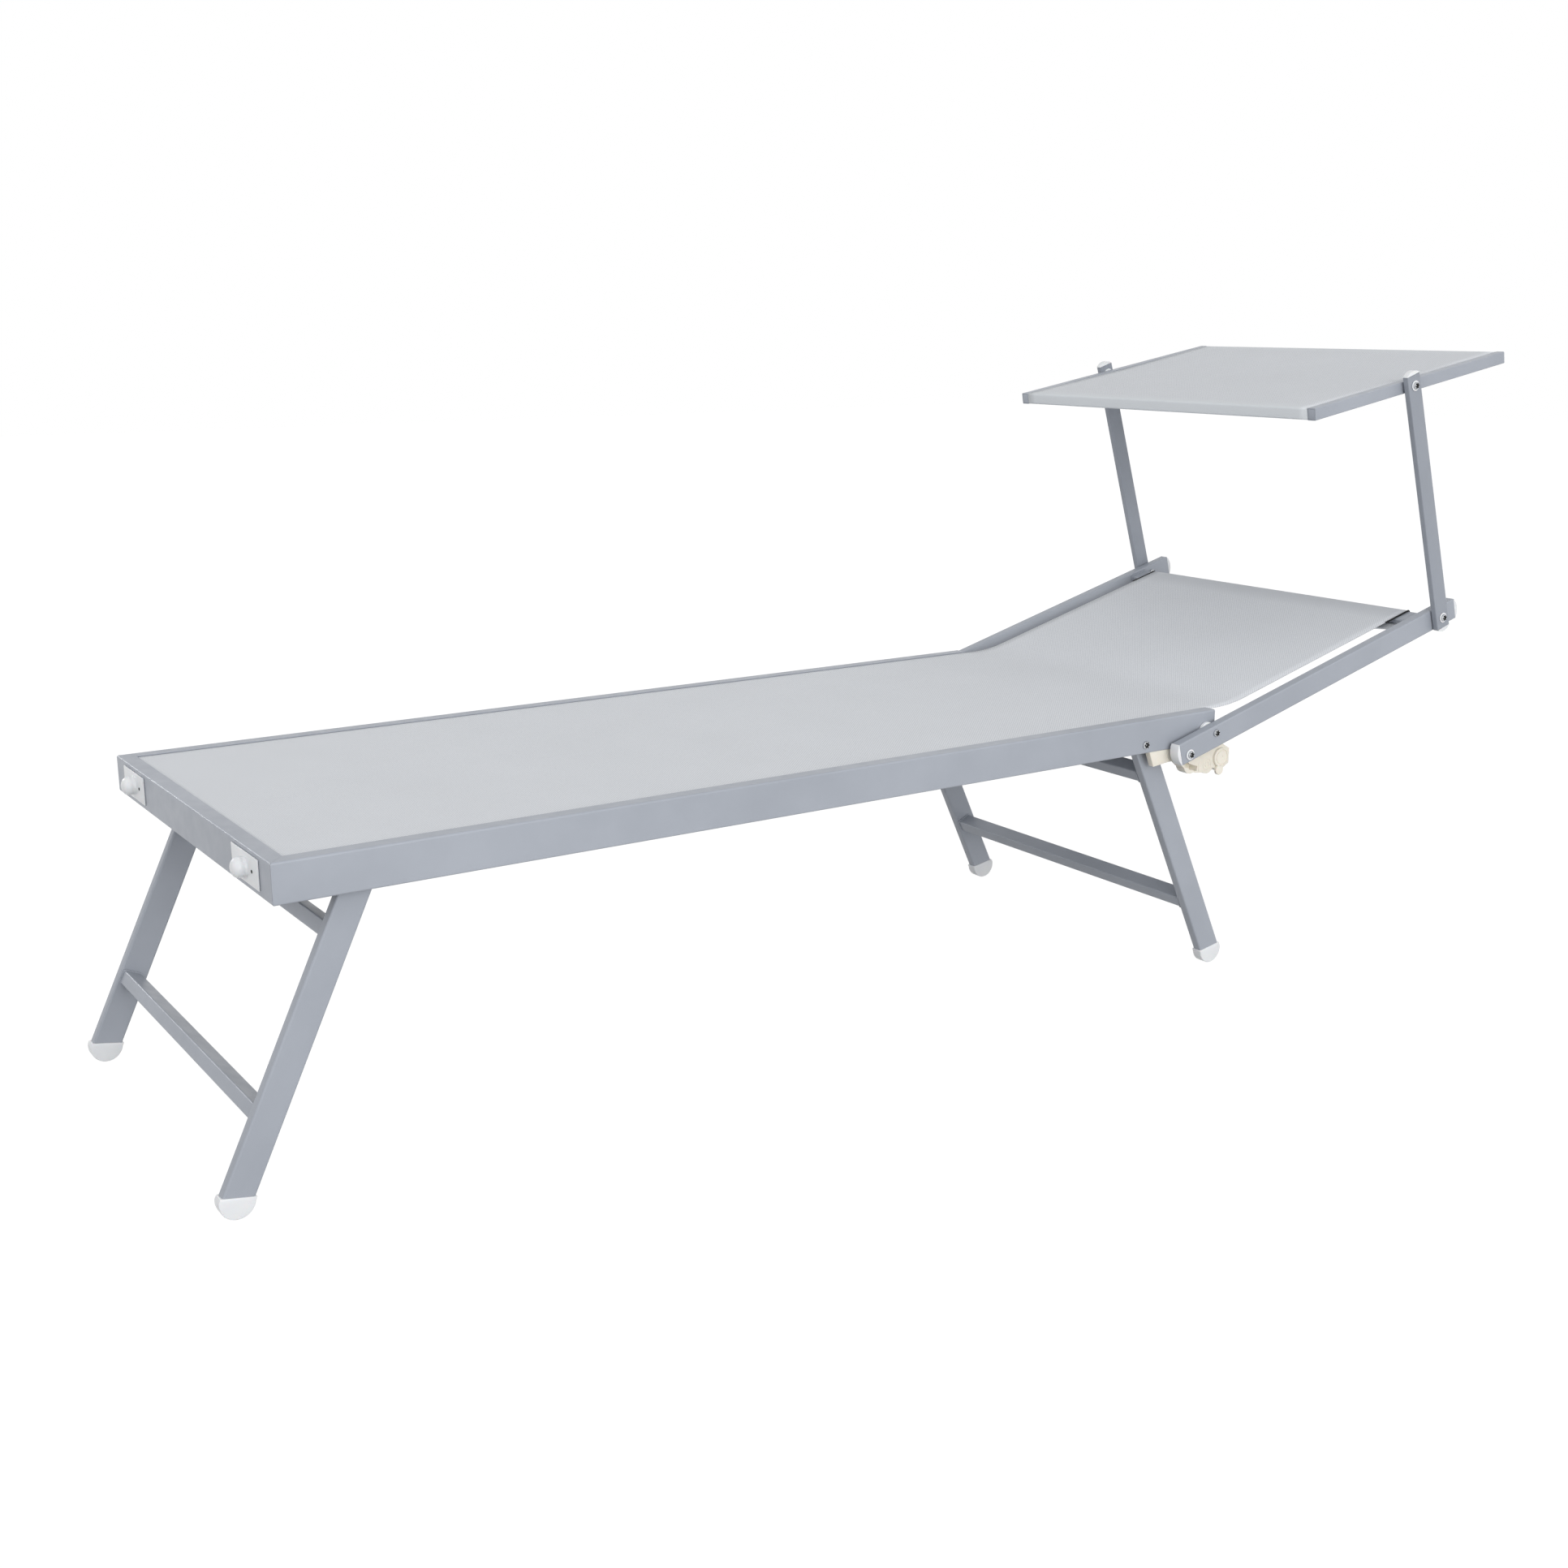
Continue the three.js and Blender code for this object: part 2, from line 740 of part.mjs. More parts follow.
function housingScrews() {
  const seat = bedHalf + gap;
  const screw = turned([
    [0, seat - fixScrewReach],
    [fixScrewRadius, seat - fixScrewReach],
    [fixScrewRadius, seat],
    ...headProfile(fixScrewHeadRadius, fixScrewHead, seat),
  ]);
  return pair(
    'housing_screw',
    screw.translate(0, pivotY - fixScrewFront, railBottom + fixScrewRise),
    steel,
  );
}

function catches() {
  const faceAt = housingX + housingHalf + gap;
  const backAt = housingX - housingHalf - gap;
  const knob = turned([
    [0, backAt - catchCollar],
    [catchCollarRadius, backAt - catchCollar],
    [catchCollarRadius, backAt],
    [catchShaftRadius, backAt],
    [catchShaftRadius, faceAt],
    [catchRadius, faceAt],
    [catchRadius, faceAt + catchThickness],
    [0, faceAt + catchThickness],
  ]);
  const nub = roundBar(nubRadius, catchThickness).translate(faceAt + catchThickness / 2, 0, -nubReach);
  const neck = box(catchThickness, 2 * catchShaftRadius, nubReach).translate(
    faceAt + catchThickness / 2,
    0,
    -nubReach / 2,
  );
  const whole = join([knob, nub, neck])
    .rotateX(-nubTurn)
    .translate(0, pivotY + hubBack, pivotZ - hubDrop);
  return pair('recliner_catch', whole, ivoryPlastic);
}

function pivotBolts() {
  const seat = tubeOuter + gap;
  const nutFace = railInner - gap;
  const bolt = turned([
    ...nutProfile(pivotNutRadius, pivotNut, nutFace),
    [pivotBoltRadius, nutFace],
    [pivotBoltRadius, seat],
    ...headProfile(pivotHeadRadius, pivotHead, seat),
  ]);
  return pair('backrest_pivot_bolt', bolt.translate(0, pivotY, pivotZ), steel);
}

function pivotSpacers() {
  const spacer = ring(pivotBoltRadius + gap, spacerRadius, bedHalf + gap, tubeInner - gap);
  return pair('pivot_spacer', spacer.translate(0, pivotY, pivotZ), whitePlastic);
}

// From the leg's inner side into the rail's inner wall.
function legBolts(word, pivotPlace) {
  const seat = legX - legThickness / 2 - gap;
  const nutFace = railInner + railWall + gap;
  const bolt = turned([
    [0, seat - legBoltHead],
    [legBoltHeadRadius, seat - legBoltHead],
    [legBoltHeadRadius, seat],
    [legBoltRadius, seat],
    [legBoltRadius, nutFace],
    [legNutRadius, nutFace],
    [legNutRadius, nutFace + legNut],
    [0, nutFace + legNut],
  ]);
  return pair(`${word}_leg_bolt`, bolt.translate(0, pivotPlace, legPivotZ), steel);
}

// Leg frames, drawn upright about their pivot and then leaned

function legGeometry(outward) {
  const length = legTop + legReach;
  const slope = -outward * Math.tan(legCut);
  const tube = extrude(hollowShape(legThickness, legWidth, legRadius, legWall), length)
    .translate(0, 0, -legReach);
  const sawn = mitre(
    tube,
    (point) => point.z < 0,
    (point) => {
      point.z = -legReach + slope * point.y;
    },
  );
  const hole = roundBar(legBoltRadius + gap, legThickness + 2 * overrun);
  return cut(sawn, [hole]);
}

// A half round below a band that carries on the leg's line, square to the leg's sawn end.
function footCapGeometry(outward) {
  const width = legThickness + 2 * footSideRim;
  const tilt = -outward * legCut;
  const half = new THREE.Vector2(footRadius * Math.cos(tilt), footRadius * Math.sin(tilt));
  const outline = [
    half.clone().negate(),
    ...arc(0, -footBand, footRadius, Math.PI + tilt, 2 * Math.PI + tilt, 2 * arcSteps),
    half,
  ];
  const shoe = across(outline, width).translate(0, 0, -legReach - gap);
  const stemWidth = legThickness - 2 * legWall - 2 * gap;
  const stemDepth = legWidth - 2 * legWall - 2 * gap;
  const stemHeight = footStem + footRadius / 2;
  const stem = box(stemWidth, stemDepth, stemHeight).translate(0, 0, -legReach + footStem - stemHeight / 2);
  return join([shoe, stem]);
}

// A crossbar between the legs of one frame, with a collar where it meets each leg.
function crossbar(name, drop, offset) {
  const legInnerFace = legX - legThickness / 2 - gap;
  const bar = tubeAlongX(barDepth, barHeight, barRadius, barWall, 2 * legInnerFace);
  const parts = [bar];
  for (const side of [-1, 1]) {
    const collar = extrude(
      collarShape(barHeight, barDepth, barRadius, collarRim),
      collarThickness,
    ).rotateY(Math.PI / 2);
    const x = side > 0 ? legInnerFace - collarThickness : -legInnerFace;
    parts.push(collar.translate(x, 0, 0));
  }
  return piece(name, join(parts).translate(0, offset, -drop), powderCoat);
}

function collarShape(height, depth, radius, rim) {
  const shape = new THREE.Shape(roundedOutline(height + 2 * rim, depth + 2 * rim, radius + rim));
  const overlap = rim / 2;
  shape.holes.push(new THREE.Path(plainOutline(height - 2 * overlap, depth - 2 * overlap)));
  return shape;
}

function legFrame(word, outward, pivotPlace, upperDrop, offset) {
  const frame = new THREE.Group();
  frame.position.set(0, pivotPlace, legPivotZ);
  frame.rotation.x = outward * legLean;
  const leg = legGeometry(outward).translate(legX, 0, 0);
  const cap = footCapGeometry(outward).translate(legX, 0, 0);
  frame.add(...pair(`${word}_leg`, leg, powderCoat));
  frame.add(...pair(`${word}_foot_cap`, cap, whitePlastic));
  frame.add(crossbar(`${word}_upper_crossbar`, upperDrop, offset));
  frame.add(crossbar(`${word}_lower_crossbar`, lowerBarDrop, offset));
  return frame;
}

// Backrest: y runs along the tubes from the pivot, z is square to them

// A domed cap whose face lies at y = 0 and whose stem points to -y.
function domedCap(width, height, wall) {
  const half = height / 2;
  const bulge = (half * half + domeHeight * domeHeight) / (2 * domeHeight);
  const spread = Math.asin(half / bulge);
  const outline = arc(domeHeight - bulge + gap, 0, bulge, -spread, spread, 2 * arcSteps);
  const dome = across(outline, width);
  const stemWidth = width - 2 * wall - 2 * gap;
  const stemHeight = height - 2 * wall - 2 * gap;
  const stemLength = domeStem + 2 * gap;
  const stem = box(stemWidth, stemLength, stemHeight).translate(0, 2 * gap - stemLength / 2, 0);
  return join([dome, stem]);
}

function backrestTubes() {
  const tube = tubeAlongY(tubeWidth, tubeHeight, tubeRadius, tubeWall, tubeTail + tubeReach)
    .translate(tubeX, -tubeTail, -tubeDrop);
  const reach = tubeWidth + 2 * overrun;
  const holes = [
    roundBar(pivotBoltRadius + gap, reach).translate(tubeX, 0, 0),
    roundBar(boltRadius + gap, reach).translate(tubeX, -stopBack, -stopDrop),
    roundBar(boltRadius + gap, reach).translate(tubeX, postAt, -postDrop),
  ];
  return pair('backrest_tube', cut(tube, holes), powderCoat);
}

function backrestCaps() {
  const cap = domedCap(tubeWidth, tubeHeight, tubeWall);
  const headCap = cap.clone().translate(tubeX, tubeReach, -tubeDrop);
  const tailCap = cap.rotateX(Math.PI).translate(tubeX, -tubeTail, -tubeDrop);
  return [
    ...pair('backrest_head_cap', headCap, whitePlastic),
    ...pair('backrest_tail_cap', tailCap, whitePlastic),
  ];
}

function headBar() {
  const half = tubeInner - gap;
  const bar = tubeAlongX(headBarDepth, headBarThickness, tubeRadius, tubeWall, 2 * half);
  const parts = [bar];
  for (const side of [-1, 1]) {
    const collar = extrude(
      collarShape(headBarThickness, headBarDepth, tubeRadius, headCollarRim),
      collarThickness,
    ).rotateY(Math.PI / 2);
    const x = side > 0 ? half - collarThickness : -half;
    parts.push(collar.translate(x, 0, 0));
  }
  return piece('head_bar', join(parts).translate(0, headBarAt, headBarMiddle), powderCoat);
}

function stopPins() {
  const seat = tubeOuter + gap;
  const shoulder = tubeInner - gap;
  const tip = bedHalf - stopPinReach;
  const pin = turned([
    [0, tip],
    [stopPinRadius, tip],
    [stopPinRadius, shoulder],
    [boltRadius, shoulder],
    [boltRadius, seat],
    ...ringedHeadProfile(seat),
  ]);
  return pair('stop_pin', pin.translate(0, -stopBack, -stopDrop), steel);
}

// A point of the bed's (y, z) frame, seen from the backrest.
function inBackrest(y, z) {
  return new THREE.Vector2(y - pivotY, z - pivotZ).rotateAround(new THREE.Vector2(0, 0), -backrestAngle);
}

function slingBack() {
  const half = slingThickness / 2;
  const level = slingTop - half;
  const line = slingRise - half;
  const start = inBackrest(railLength + seatOverhang + slingSplit, level);
  const bendStart = inBackrest(railLength + slingFlatRun, level);
  const tangent = (line - bendStart.y) / -Math.sin(backrestAngle);
  const bendRadius = tangent / Math.tan(backrestAngle / 2);
  const corner = bendStart.x + tangent * Math.cos(backrestAngle);
  const down = -Math.PI / 2;
  const foldOut = foldRadius + half;
  const barBack = headBarAt + headBarDepth / 2 + gap - foldRadius;
  const barFront = headBarAt - headBarDepth / 2;
  const barLow = headBarMiddle - headBarThickness / 2 - gap - half - pocketSlack;
  const path = [
    start,
    ...arc(corner + tangent, line + bendRadius, bendRadius, down - backrestAngle, down, arcSteps),
    ...arc(barBack, line - foldOut, foldOut, -down, 0, cornerSteps),
    ...arc(barBack, barLow + foldOut, foldOut, 0, down, cornerSteps),
    new THREE.Vector2(barFront, barLow),
    new THREE.Vector2(barFront - pocketLength, line - slingThickness - gap),
  ];
  const width = 2 * (railInner - gap);
  return piece('sling_back', across(ribbonOutline(path, slingThickness), width), textile);
}

// A bolt through a post and the tube inside it, with its ring and head on the post's outer face.
function postBolt(nutFace) {
  const seat = postOuter + gap;
  return turned([
    ...nutProfile(boltNutRadius, boltNut, nutFace),
    [boltRadius, nutFace],
    [boltRadius, seat],
    ...ringedHeadProfile(seat),
  ]);
}

function postBolts() {
  return pair('post_pivot_bolt', postBolt(tubeInner - gap).translate(0, postAt, -postDrop), steel);
}

// Posts: z runs up from the lower bolt

function posts() {
  const length = postSpan + 2 * postEnd;
  const post = extrude(hollowShape(postThickness, postDepth, postRadius, postWall), length)
    .translate(postX, 0, -postEnd);
  const reach = postThickness + 2 * overrun;
  const holes = [0, postSpan].map((z) => roundBar(boltRadius + gap, reach).translate(postX, 0, z));
  return pair('canopy_post', cut(post, holes), powderCoat);
}

function postCaps() {
  const cap = domedCap(postThickness, postDepth, postWall);
  const topCap = cap.clone().rotateX(Math.PI / 2).translate(postX, 0, postSpan + postEnd);
  const lowCap = cap.rotateX(-Math.PI / 2).translate(postX, 0, -postEnd);
  return [...pair('post_top_cap', topCap, whitePlastic), ...pair('post_low_cap', lowCap, whitePlastic)];
}

function frictionWashers() {
  const washer = ring(boltRadius + gap, frictionRadius, canopyOuter + gap, postInner - gap);
  return pair('friction_washer', washer.translate(0, 0, postSpan), whitePlastic);
}

function canopyBolts() {
  return pair('canopy_pivot_bolt', postBolt(canopyInner - gap).translate(0, 0, postSpan), steel);
}

// Canopy: y runs along its side rails, from below the upper bolt

function canopyRails() {
  const rail = tubeAlongY(
    canopyRailWidth,
    canopyRailHeight,
    canopyRailRadius,
    canopyRailWall,
    canopyFront + canopyBack,
  ).translate(canopyX, -canopyFront, 0);
  const hole = roundBar(boltRadius + gap, canopyRailWidth + 2 * overrun).translate(canopyX, 0, canopyDrop);
  return pair('canopy_rail', cut(rail, [hole]), powderCoat);
}

function canopyBar(name, outward, end) {
  const height = canopyRailHeight - 2 * (fabricThickness + gap);
  const length = 2 * (canopyInner - gap);
  const bar = tubeAlongX(canopyBarDepth, height, canopyRailRadius, canopyRailWall, length);
  const middle = end - fabricThickness - gap - canopyBarDepth / 2;
  return piece(name, bar.translate(0, outward * middle, 0), powderCoat);
}

function canopyFabric() {
  const half = fabricThickness / 2;
  const top = canopyRailHeight / 2 - half;
  const foldOut = foldRadius + half;
  const quarter = Math.PI / 2;
  const front = -canopyFront + half + foldOut;
  const back = canopyBack - half - foldOut;
  const path = [
    new THREE.Vector2(-canopyFront + canopyHem, -top),
    ...arc(front, -top + foldOut, foldOut, -quarter, -2 * quarter, cornerSteps),
    ...arc(front, top - foldOut, foldOut, 2 * quarter, quarter, cornerSteps),
    ...arc(back, top - foldOut, foldOut, quarter, 0, cornerSteps),
    ...arc(back, -top + foldOut, foldOut, 0, -quarter, cornerSteps),
    new THREE.Vector2(canopyBack - canopyHem, -top),
  ];
  const width = 2 * (canopyInner - gap);
  return piece('canopy_fabric', across(ribbonOutline(path, fabricThickness), width), textile);
}

// Assembly

function bedFrame() {
  const bed = new THREE.Group();
  bed.add(...sideRails());
  bed.add(footRail());
  bed.add(spreader());
  bed.add(slingSeat());
  bed.add(...bumpers());
  bed.add(...housings());
  bed.add(...housingScrews());
  bed.add(...catches());
  bed.add(...pivotBolts());
  bed.add(...pivotSpacers());
  bed.add(...legBolts('front', frontPivotY));
  bed.add(...legBolts('rear', rearPivotY));
  return bed;
}

function canopy() {
  const group = new THREE.Group();
  group.position.set(0, canopyDrop * Math.sin(canopyTurn), postSpan - canopyDrop * Math.cos(canopyTurn));
  group.rotation.x = canopyTurn;
  group.add(...canopyRails());
  group.add(canopyBar('canopy_front_bar', -1, canopyFront));
  group.add(canopyBar('canopy_back_bar', 1, canopyBack));
  group.add(canopyFabric());
  return group;
}

function canopyPosts() {
  const group = new THREE.Group();
  group.position.set(0, postAt, -postDrop);
  group.rotation.x = postLean;
  group.add(...posts());
  group.add(...postCaps());
  group.add(...frictionWashers());
  group.add(...canopyBolts());
  group.add(canopy());
  return group;
}

function backrest() {
  const group = new THREE.Group();
  group.position.set(0, pivotY, pivotZ);
  group.rotation.x = backrestAngle;
  group.add(...backrestTubes());
  group.add(...backrestCaps());
  group.add(headBar());
  group.add(...stopPins());
  group.add(slingBack());
  group.add(...postBolts());
  group.add(canopyPosts());
  return group;
}

const lounger = new THREE.Group();
lounger.add(bedFrame());
lounger.add(legFrame('front', -1, frontPivotY, upperBarDrop, frontBarOffset));
lounger.add(legFrame('rear', 1, rearPivotY, rearUpperBarDrop, rearBarOffset));
lounger.add(backrest());

// The origin lies on the floor, under the middle of the lounger's length and width.
const extent = new THREE.Box3().setFromObject(lounger, true);
lounger.position.set(0, -(extent.min.y + extent.max.y) / 2, -extent.min.z);

export default lounger;
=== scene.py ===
"""Sun lounger with a tilting canopy: its cloth, moulded parts, bolts, finishes and studio.

Everything is in metres. The foot end points to -Y, the head end to +Y and +X is the right side.
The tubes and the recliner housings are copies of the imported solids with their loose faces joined.
Cloth, caps, bolts and the other moulded parts are made here, each in the place of its solid.
"""

import json
import logging
import math
from dataclasses import dataclass
from enum import Enum
from typing import Callable, Dict, List, Optional, Sequence, Tuple, Union

import bmesh
import bpy
from mathutils import Matrix, Vector


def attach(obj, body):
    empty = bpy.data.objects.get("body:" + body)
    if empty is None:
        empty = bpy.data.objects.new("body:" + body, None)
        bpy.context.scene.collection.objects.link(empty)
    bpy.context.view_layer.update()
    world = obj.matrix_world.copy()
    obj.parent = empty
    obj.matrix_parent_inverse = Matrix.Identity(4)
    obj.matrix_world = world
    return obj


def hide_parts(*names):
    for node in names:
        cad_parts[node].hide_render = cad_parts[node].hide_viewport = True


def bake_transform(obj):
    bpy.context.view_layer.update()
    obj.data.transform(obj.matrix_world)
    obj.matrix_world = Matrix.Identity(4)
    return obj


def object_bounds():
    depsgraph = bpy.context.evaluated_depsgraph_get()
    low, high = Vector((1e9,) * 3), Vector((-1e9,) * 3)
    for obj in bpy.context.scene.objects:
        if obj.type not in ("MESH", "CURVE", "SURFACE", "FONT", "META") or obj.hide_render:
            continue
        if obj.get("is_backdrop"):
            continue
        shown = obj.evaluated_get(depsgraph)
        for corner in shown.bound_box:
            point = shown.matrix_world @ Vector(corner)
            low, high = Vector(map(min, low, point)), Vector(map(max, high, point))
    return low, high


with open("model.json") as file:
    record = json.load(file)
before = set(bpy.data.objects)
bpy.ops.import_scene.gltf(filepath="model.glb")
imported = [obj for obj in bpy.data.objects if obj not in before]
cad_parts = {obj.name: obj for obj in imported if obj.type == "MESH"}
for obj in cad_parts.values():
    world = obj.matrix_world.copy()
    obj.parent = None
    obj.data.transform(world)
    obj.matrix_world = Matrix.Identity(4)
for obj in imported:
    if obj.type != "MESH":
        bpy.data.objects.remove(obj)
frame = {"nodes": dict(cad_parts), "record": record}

CAD_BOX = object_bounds()
LOG = logging.getLogger("lounger")
GAP = 0.0003

Point = Tuple[float, float]
Triple = Tuple[float, float, float]
Shell = bmesh.types.BMesh
Material = bpy.types.Material
Socket = bpy.types.NodeSocket
Value = Union[float, Socket]
Tint = Union[str, Socket]
Sources = Dict[Union[int, str], object]


class Side(Enum):
    """The two sides of the lounger."""

    RIGHT = "right"
    LEFT = "left"


class Fold(Enum):
    """The way a leg frame leans."""

    FRONT = -1
    REAR = 1


# Finishes


def linear(code: str) -> Tuple[float, float, float, float]:
    """Turns a colour as a screen shows it into the shader's own scale.

    Args:
        code: Six hexadecimal digits after a hash.

    Returns:
        Red, green, blue and an alpha of one.
    """
    shades = [int(code[at : at + 2], 16) / 255 for at in (1, 3, 5)]
    red, green, blue = (s / 12.92 if s <= 0.04045 else ((s + 0.055) / 1.055) ** 2.4 for s in shades)
    return (red, green, blue, 1.0)


class Tree:
    """A node tree, with short calls that add and join its nodes."""

    def __init__(self, tree: bpy.types.NodeTree) -> None:
        """Keeps the tree's nodes and links."""
        self.nodes, self.links = tree.nodes, tree.links

    def place(self, kind: str, values: Optional[Sources] = None, **settings: object) -> bpy.types.Node:
        """Adds a node.

        Args:
            kind: The node's type.
            values: A source or a value for some of its sockets, by number or name.
            settings: Its properties by name.

        Returns:
            The new node.
        """
        node = self.nodes.new(kind)
        for name, setting in settings.items():
            setattr(node, name, setting)
        for key, value in (values or {}).items():
            self.plug(node.inputs[key], value)
        return node

    def plug(self, socket: Socket, value: object) -> None:
        """Links a socket's source to it, or sets its value."""
        if isinstance(value, Socket):
            self.links.new(value, socket)
        else:
            socket.default_value = value

    def where(self, which: str = "Object") -> Socket:
        """Gives the coordinates of that name."""
        return self.place("ShaderNodeTexCoord").outputs[which]

    def sums(self, operation: str, *values: Value) -> Socket:
        """Works those values out by a Math node's operation."""
        return self.place("ShaderNodeMath", dict(enumerate(values)), operation=operation).outputs[0]

    def mixed(self, share: Value, low: Value, high: Value) -> Socket:
        """Mixes two values, with that share of the second."""
        return self.place("ShaderNodeMix", {0: share, 2: low, 3: high}).outputs[0]

    def span(self, value: Value, low: float, high: float, start: float = 0.3, end: float = 0.7) -> Socket:
        """Spreads a value that runs from start to end over the range from low to high."""
        return self.place("ShaderNodeMapRange", dict(enumerate((value, start, end, low, high)))).outputs[0]

    def seen(self) -> Socket:
        """Gives one where the camera, a mirror or glass sees the surface, and zero where it only lights."""
        path = self.place("ShaderNodeLightPath")
        seen = path.outputs["Is Camera Ray"]
        for kind in ("Is Glossy Ray", "Is Transmission Ray"):
            seen = self.sums("MAXIMUM", seen, path.outputs[kind])
        return seen


class Board(Tree):
    """The node tree of one material."""

    def __init__(self, name: str) -> None:
        """Starts a material that holds a Principled shader."""
        self.material = bpy.data.materials.new(name)
        self.material.use_nodes = True
        super().__init__(self.material.node_tree)
        self.shader = self.nodes["Principled BSDF"]

    def noise(self, vector: Socket, scale: float, detail: float) -> Socket:
        """Adds a noise with so many spots to the metre and so many finer layers."""
        values = {"Vector": vector, "Scale": scale, "Detail": detail}
        return self.place("ShaderNodeTexNoise", values).outputs[0]

    def between(self, share: Value, low: Tint, high: Tint) -> Socket:
        """Mixes two colours, each a code or a socket, with that share of the second."""
        tints = [linear(tint) if isinstance(tint, str) else tint for tint in (low, high)]
        return self.place("ShaderNodeMix", {0: share, 6: tints[0], 7: tints[1]}, data_type="RGBA").outputs[2]

    def relief(self, height: Socket, depth: float, strength: float) -> None:
        """Raises the surface by a height from zero to one, where one is the depth in metres."""
        node = self.place("ShaderNodeBump", {"Strength": strength, "Distance": depth, "Height": height})
        self.plug(self.shader.inputs["Normal"], node.outputs[0])

    def settle(self, **values: object) -> Material:
        """Sets the shader's sockets.

        Args:
            values: A source or a value for each socket, with _ for each blank in its name.

        Returns:
            The finished material.
        """
        for name, value in values.items():
            self.plug(self.shader.inputs[name.replace("_", " ")], value)
        return self.material


@dataclass(frozen=True)
class Coating:
    """A plain finish. Clouds and dulling are a noise's scale and detail, roughness its low and high."""

    name: str
    dark: str
    light: str
    clouds: Point
    grain: float
    dulling: Point
    roughness: Point
    depth: float = 0.00002
    strength: float = 0.4
    metallic: float = 0.0
    specular: float = 0.5
    ior: float = 1.5
    soft: float = 0.0
    soft_reach: float = 0.05

    def material(self) -> Material:
        """Makes the finish's material.

        Returns:
            The material, with a clouded colour, a fine grain and an uneven sheen.
        """
        board = Board(self.name)
        place = board.where()
        board.relief(board.noise(place, self.grain, 1.0), self.depth, self.strength)
        cloud = board.span(board.noise(place, *self.clouds), 0.0, 1.0)
        return board.settle(
            Base_Color=board.between(cloud, self.dark, self.light),
            Roughness=board.span(board.noise(place, *self.dulling), *self.roughness),
            Metallic=self.metallic,
            Specular_IOR_Level=self.specular,
            IOR=self.ior,
            Subsurface_Weight=self.soft,
            Subsurface_Scale=self.soft_reach,
        )


@dataclass(frozen=True)
class PowderCoat(Coating):
    """Satin powder coat on aluminium, with the fine pebbling of sprayed coats."""

    name: str = "powder_coat"
    dark: str = "#9ca1aa"
    light: str = "#a4a9b2"
    clouds: Point = (9.0, 4.0)
    grain: float = 1500.0
    depth: float = 0.00004
    strength: float = 0.3
    dulling: Point = (60.0, 3.0)
    roughness: Point = (0.32, 0.42)
    metallic: float = 0.05
    specular: float = 0.32


@dataclass(frozen=True)
class MouldedPlastic(Coating):
    """Moulded plastic with a fine spark-eroded grain and slight clouding."""

    clouds: Point = (28.0, 3.0)
    grain: float = 2200.0
    dulling: Point = (120.0, 2.0)
    roughness: Point = (0.29, 0.39)
    ior: float = 1.49
    soft_reach: float = 0.002


@dataclass(frozen=True)
class PlatedSteel(Coating):
    """Zinc-plated steel, turned and a little dulled."""

    name: str = "plated_steel"
    dark: str = "#a6a9ad"
    light: str = "#cfd1d4"
    clouds: Point = (700.0, 4.0)
    grain: float = 3000.0
    dulling: Point = (400.0, 2.0)
    roughness: Point = (0.2, 0.36)
    metallic: float = 1.0


@dataclass(frozen=True)
class WovenMesh:
    """Coated yarn in a two by two twill, whose ribs run aslant, with small openings between the yarns, drawn in
    a darker colour that paints the shade seen through them.
    """

    name: str
    warp: str
    weft: str
    shaded_opening: str
    backed: str
    pitch: float = 0.00105
    depth: float = 0.00018
    open_at: float = 0.42
    repeat: float = 4.0
    roundness: float = 0.6
    dip_share: float = 0.35
    strength: float = 0.4
    clouds: Point = (7.0, 3.0)
    cloud_range: Point = (0.985, 1.012)
    dulling: Point = (900.0, 1.0)
    roughness: Point = (0.62, 0.74)
    sheen: Point = (0.05, 0.5)
    specular: float = 0.3

    def rounded(self, board: Board, place: Socket) -> Socket:
        """Gives the round backs of yarns side by side, one yarn to each whole number of the place."""
        wave = board.sums("SINE", board.sums("MULTIPLY", place, math.pi))
        return board.sums("POWER", board.sums("ABSOLUTE", wave), self.roundness)

    def heights(self, board: Board, across: Value, along: Value) -> Tuple[Socket, Socket]:
        """Weaves the yarns.

        Args:
            board: The material's nodes.
            across: The place across the cloth, in yarns.
            along: The place along the cloth, in yarns.

        Returns:
            Whether the warp lies on top, and the surface's height.
        """
        step = board.sums("ADD", board.sums("FLOOR", across), board.sums("FLOOR", along))
        turn = board.sums("MODULO", step, self.repeat)
        warp_on_top = board.sums("GREATER_THAN", turn, self.repeat / 2 - 0.5)
        backs = [self.rounded(board, across), self.rounded(board, along)]
        yarns = []
        for yarn, other in (backs, backs[::-1]):
            dip = board.sums("MULTIPLY_ADD", other, self.dip_share, 1.0 - self.dip_share)
            yarns.append(board.sums("MULTIPLY", yarn, dip))
        return warp_on_top, board.mixed(warp_on_top, yarns[1], yarns[0])

    def material(self) -> Material:
        """Makes the cloth's material, on the cloth's own flat map.

        Returns:
            The material.
        """
        board = Board(self.name)
        flat = board.where("UV")
        parts = board.place("ShaderNodeSeparateXYZ", {0: flat})
        across, along = (board.sums("DIVIDE", parts.outputs[at], self.pitch) for at in (0, 1))
        warp_on_top, height = self.heights(board, across, along)
        yarn = board.between(warp_on_top, self.weft, self.warp)
        # The low places between the yarns take the darker opening colour: painted shade seen through the gaps.
        weave = board.between(board.span(height, 1.0, 0.0, 0.05, self.open_at), yarn, self.shaded_opening)
        backing = board.place("ShaderNodeAttribute", attribute_name="backing").outputs["Fac"]
        cloud = board.span(board.noise(flat, *self.clouds), *self.cloud_range)
        tint = board.between(backing, weave, self.backed)
        worn = board.place("ShaderNodeHueSaturation", {"Color": tint, "Value": cloud})
        board.relief(height, self.depth, self.strength)
        return board.settle(
            Base_Color=worn.outputs[0],
            Roughness=board.span(board.noise(flat, *self.dulling), *self.roughness),
            Sheen_Weight=self.sheen[0],
            Sheen_Roughness=self.sheen[1],
            Specular_IOR_Level=self.specular,
        )


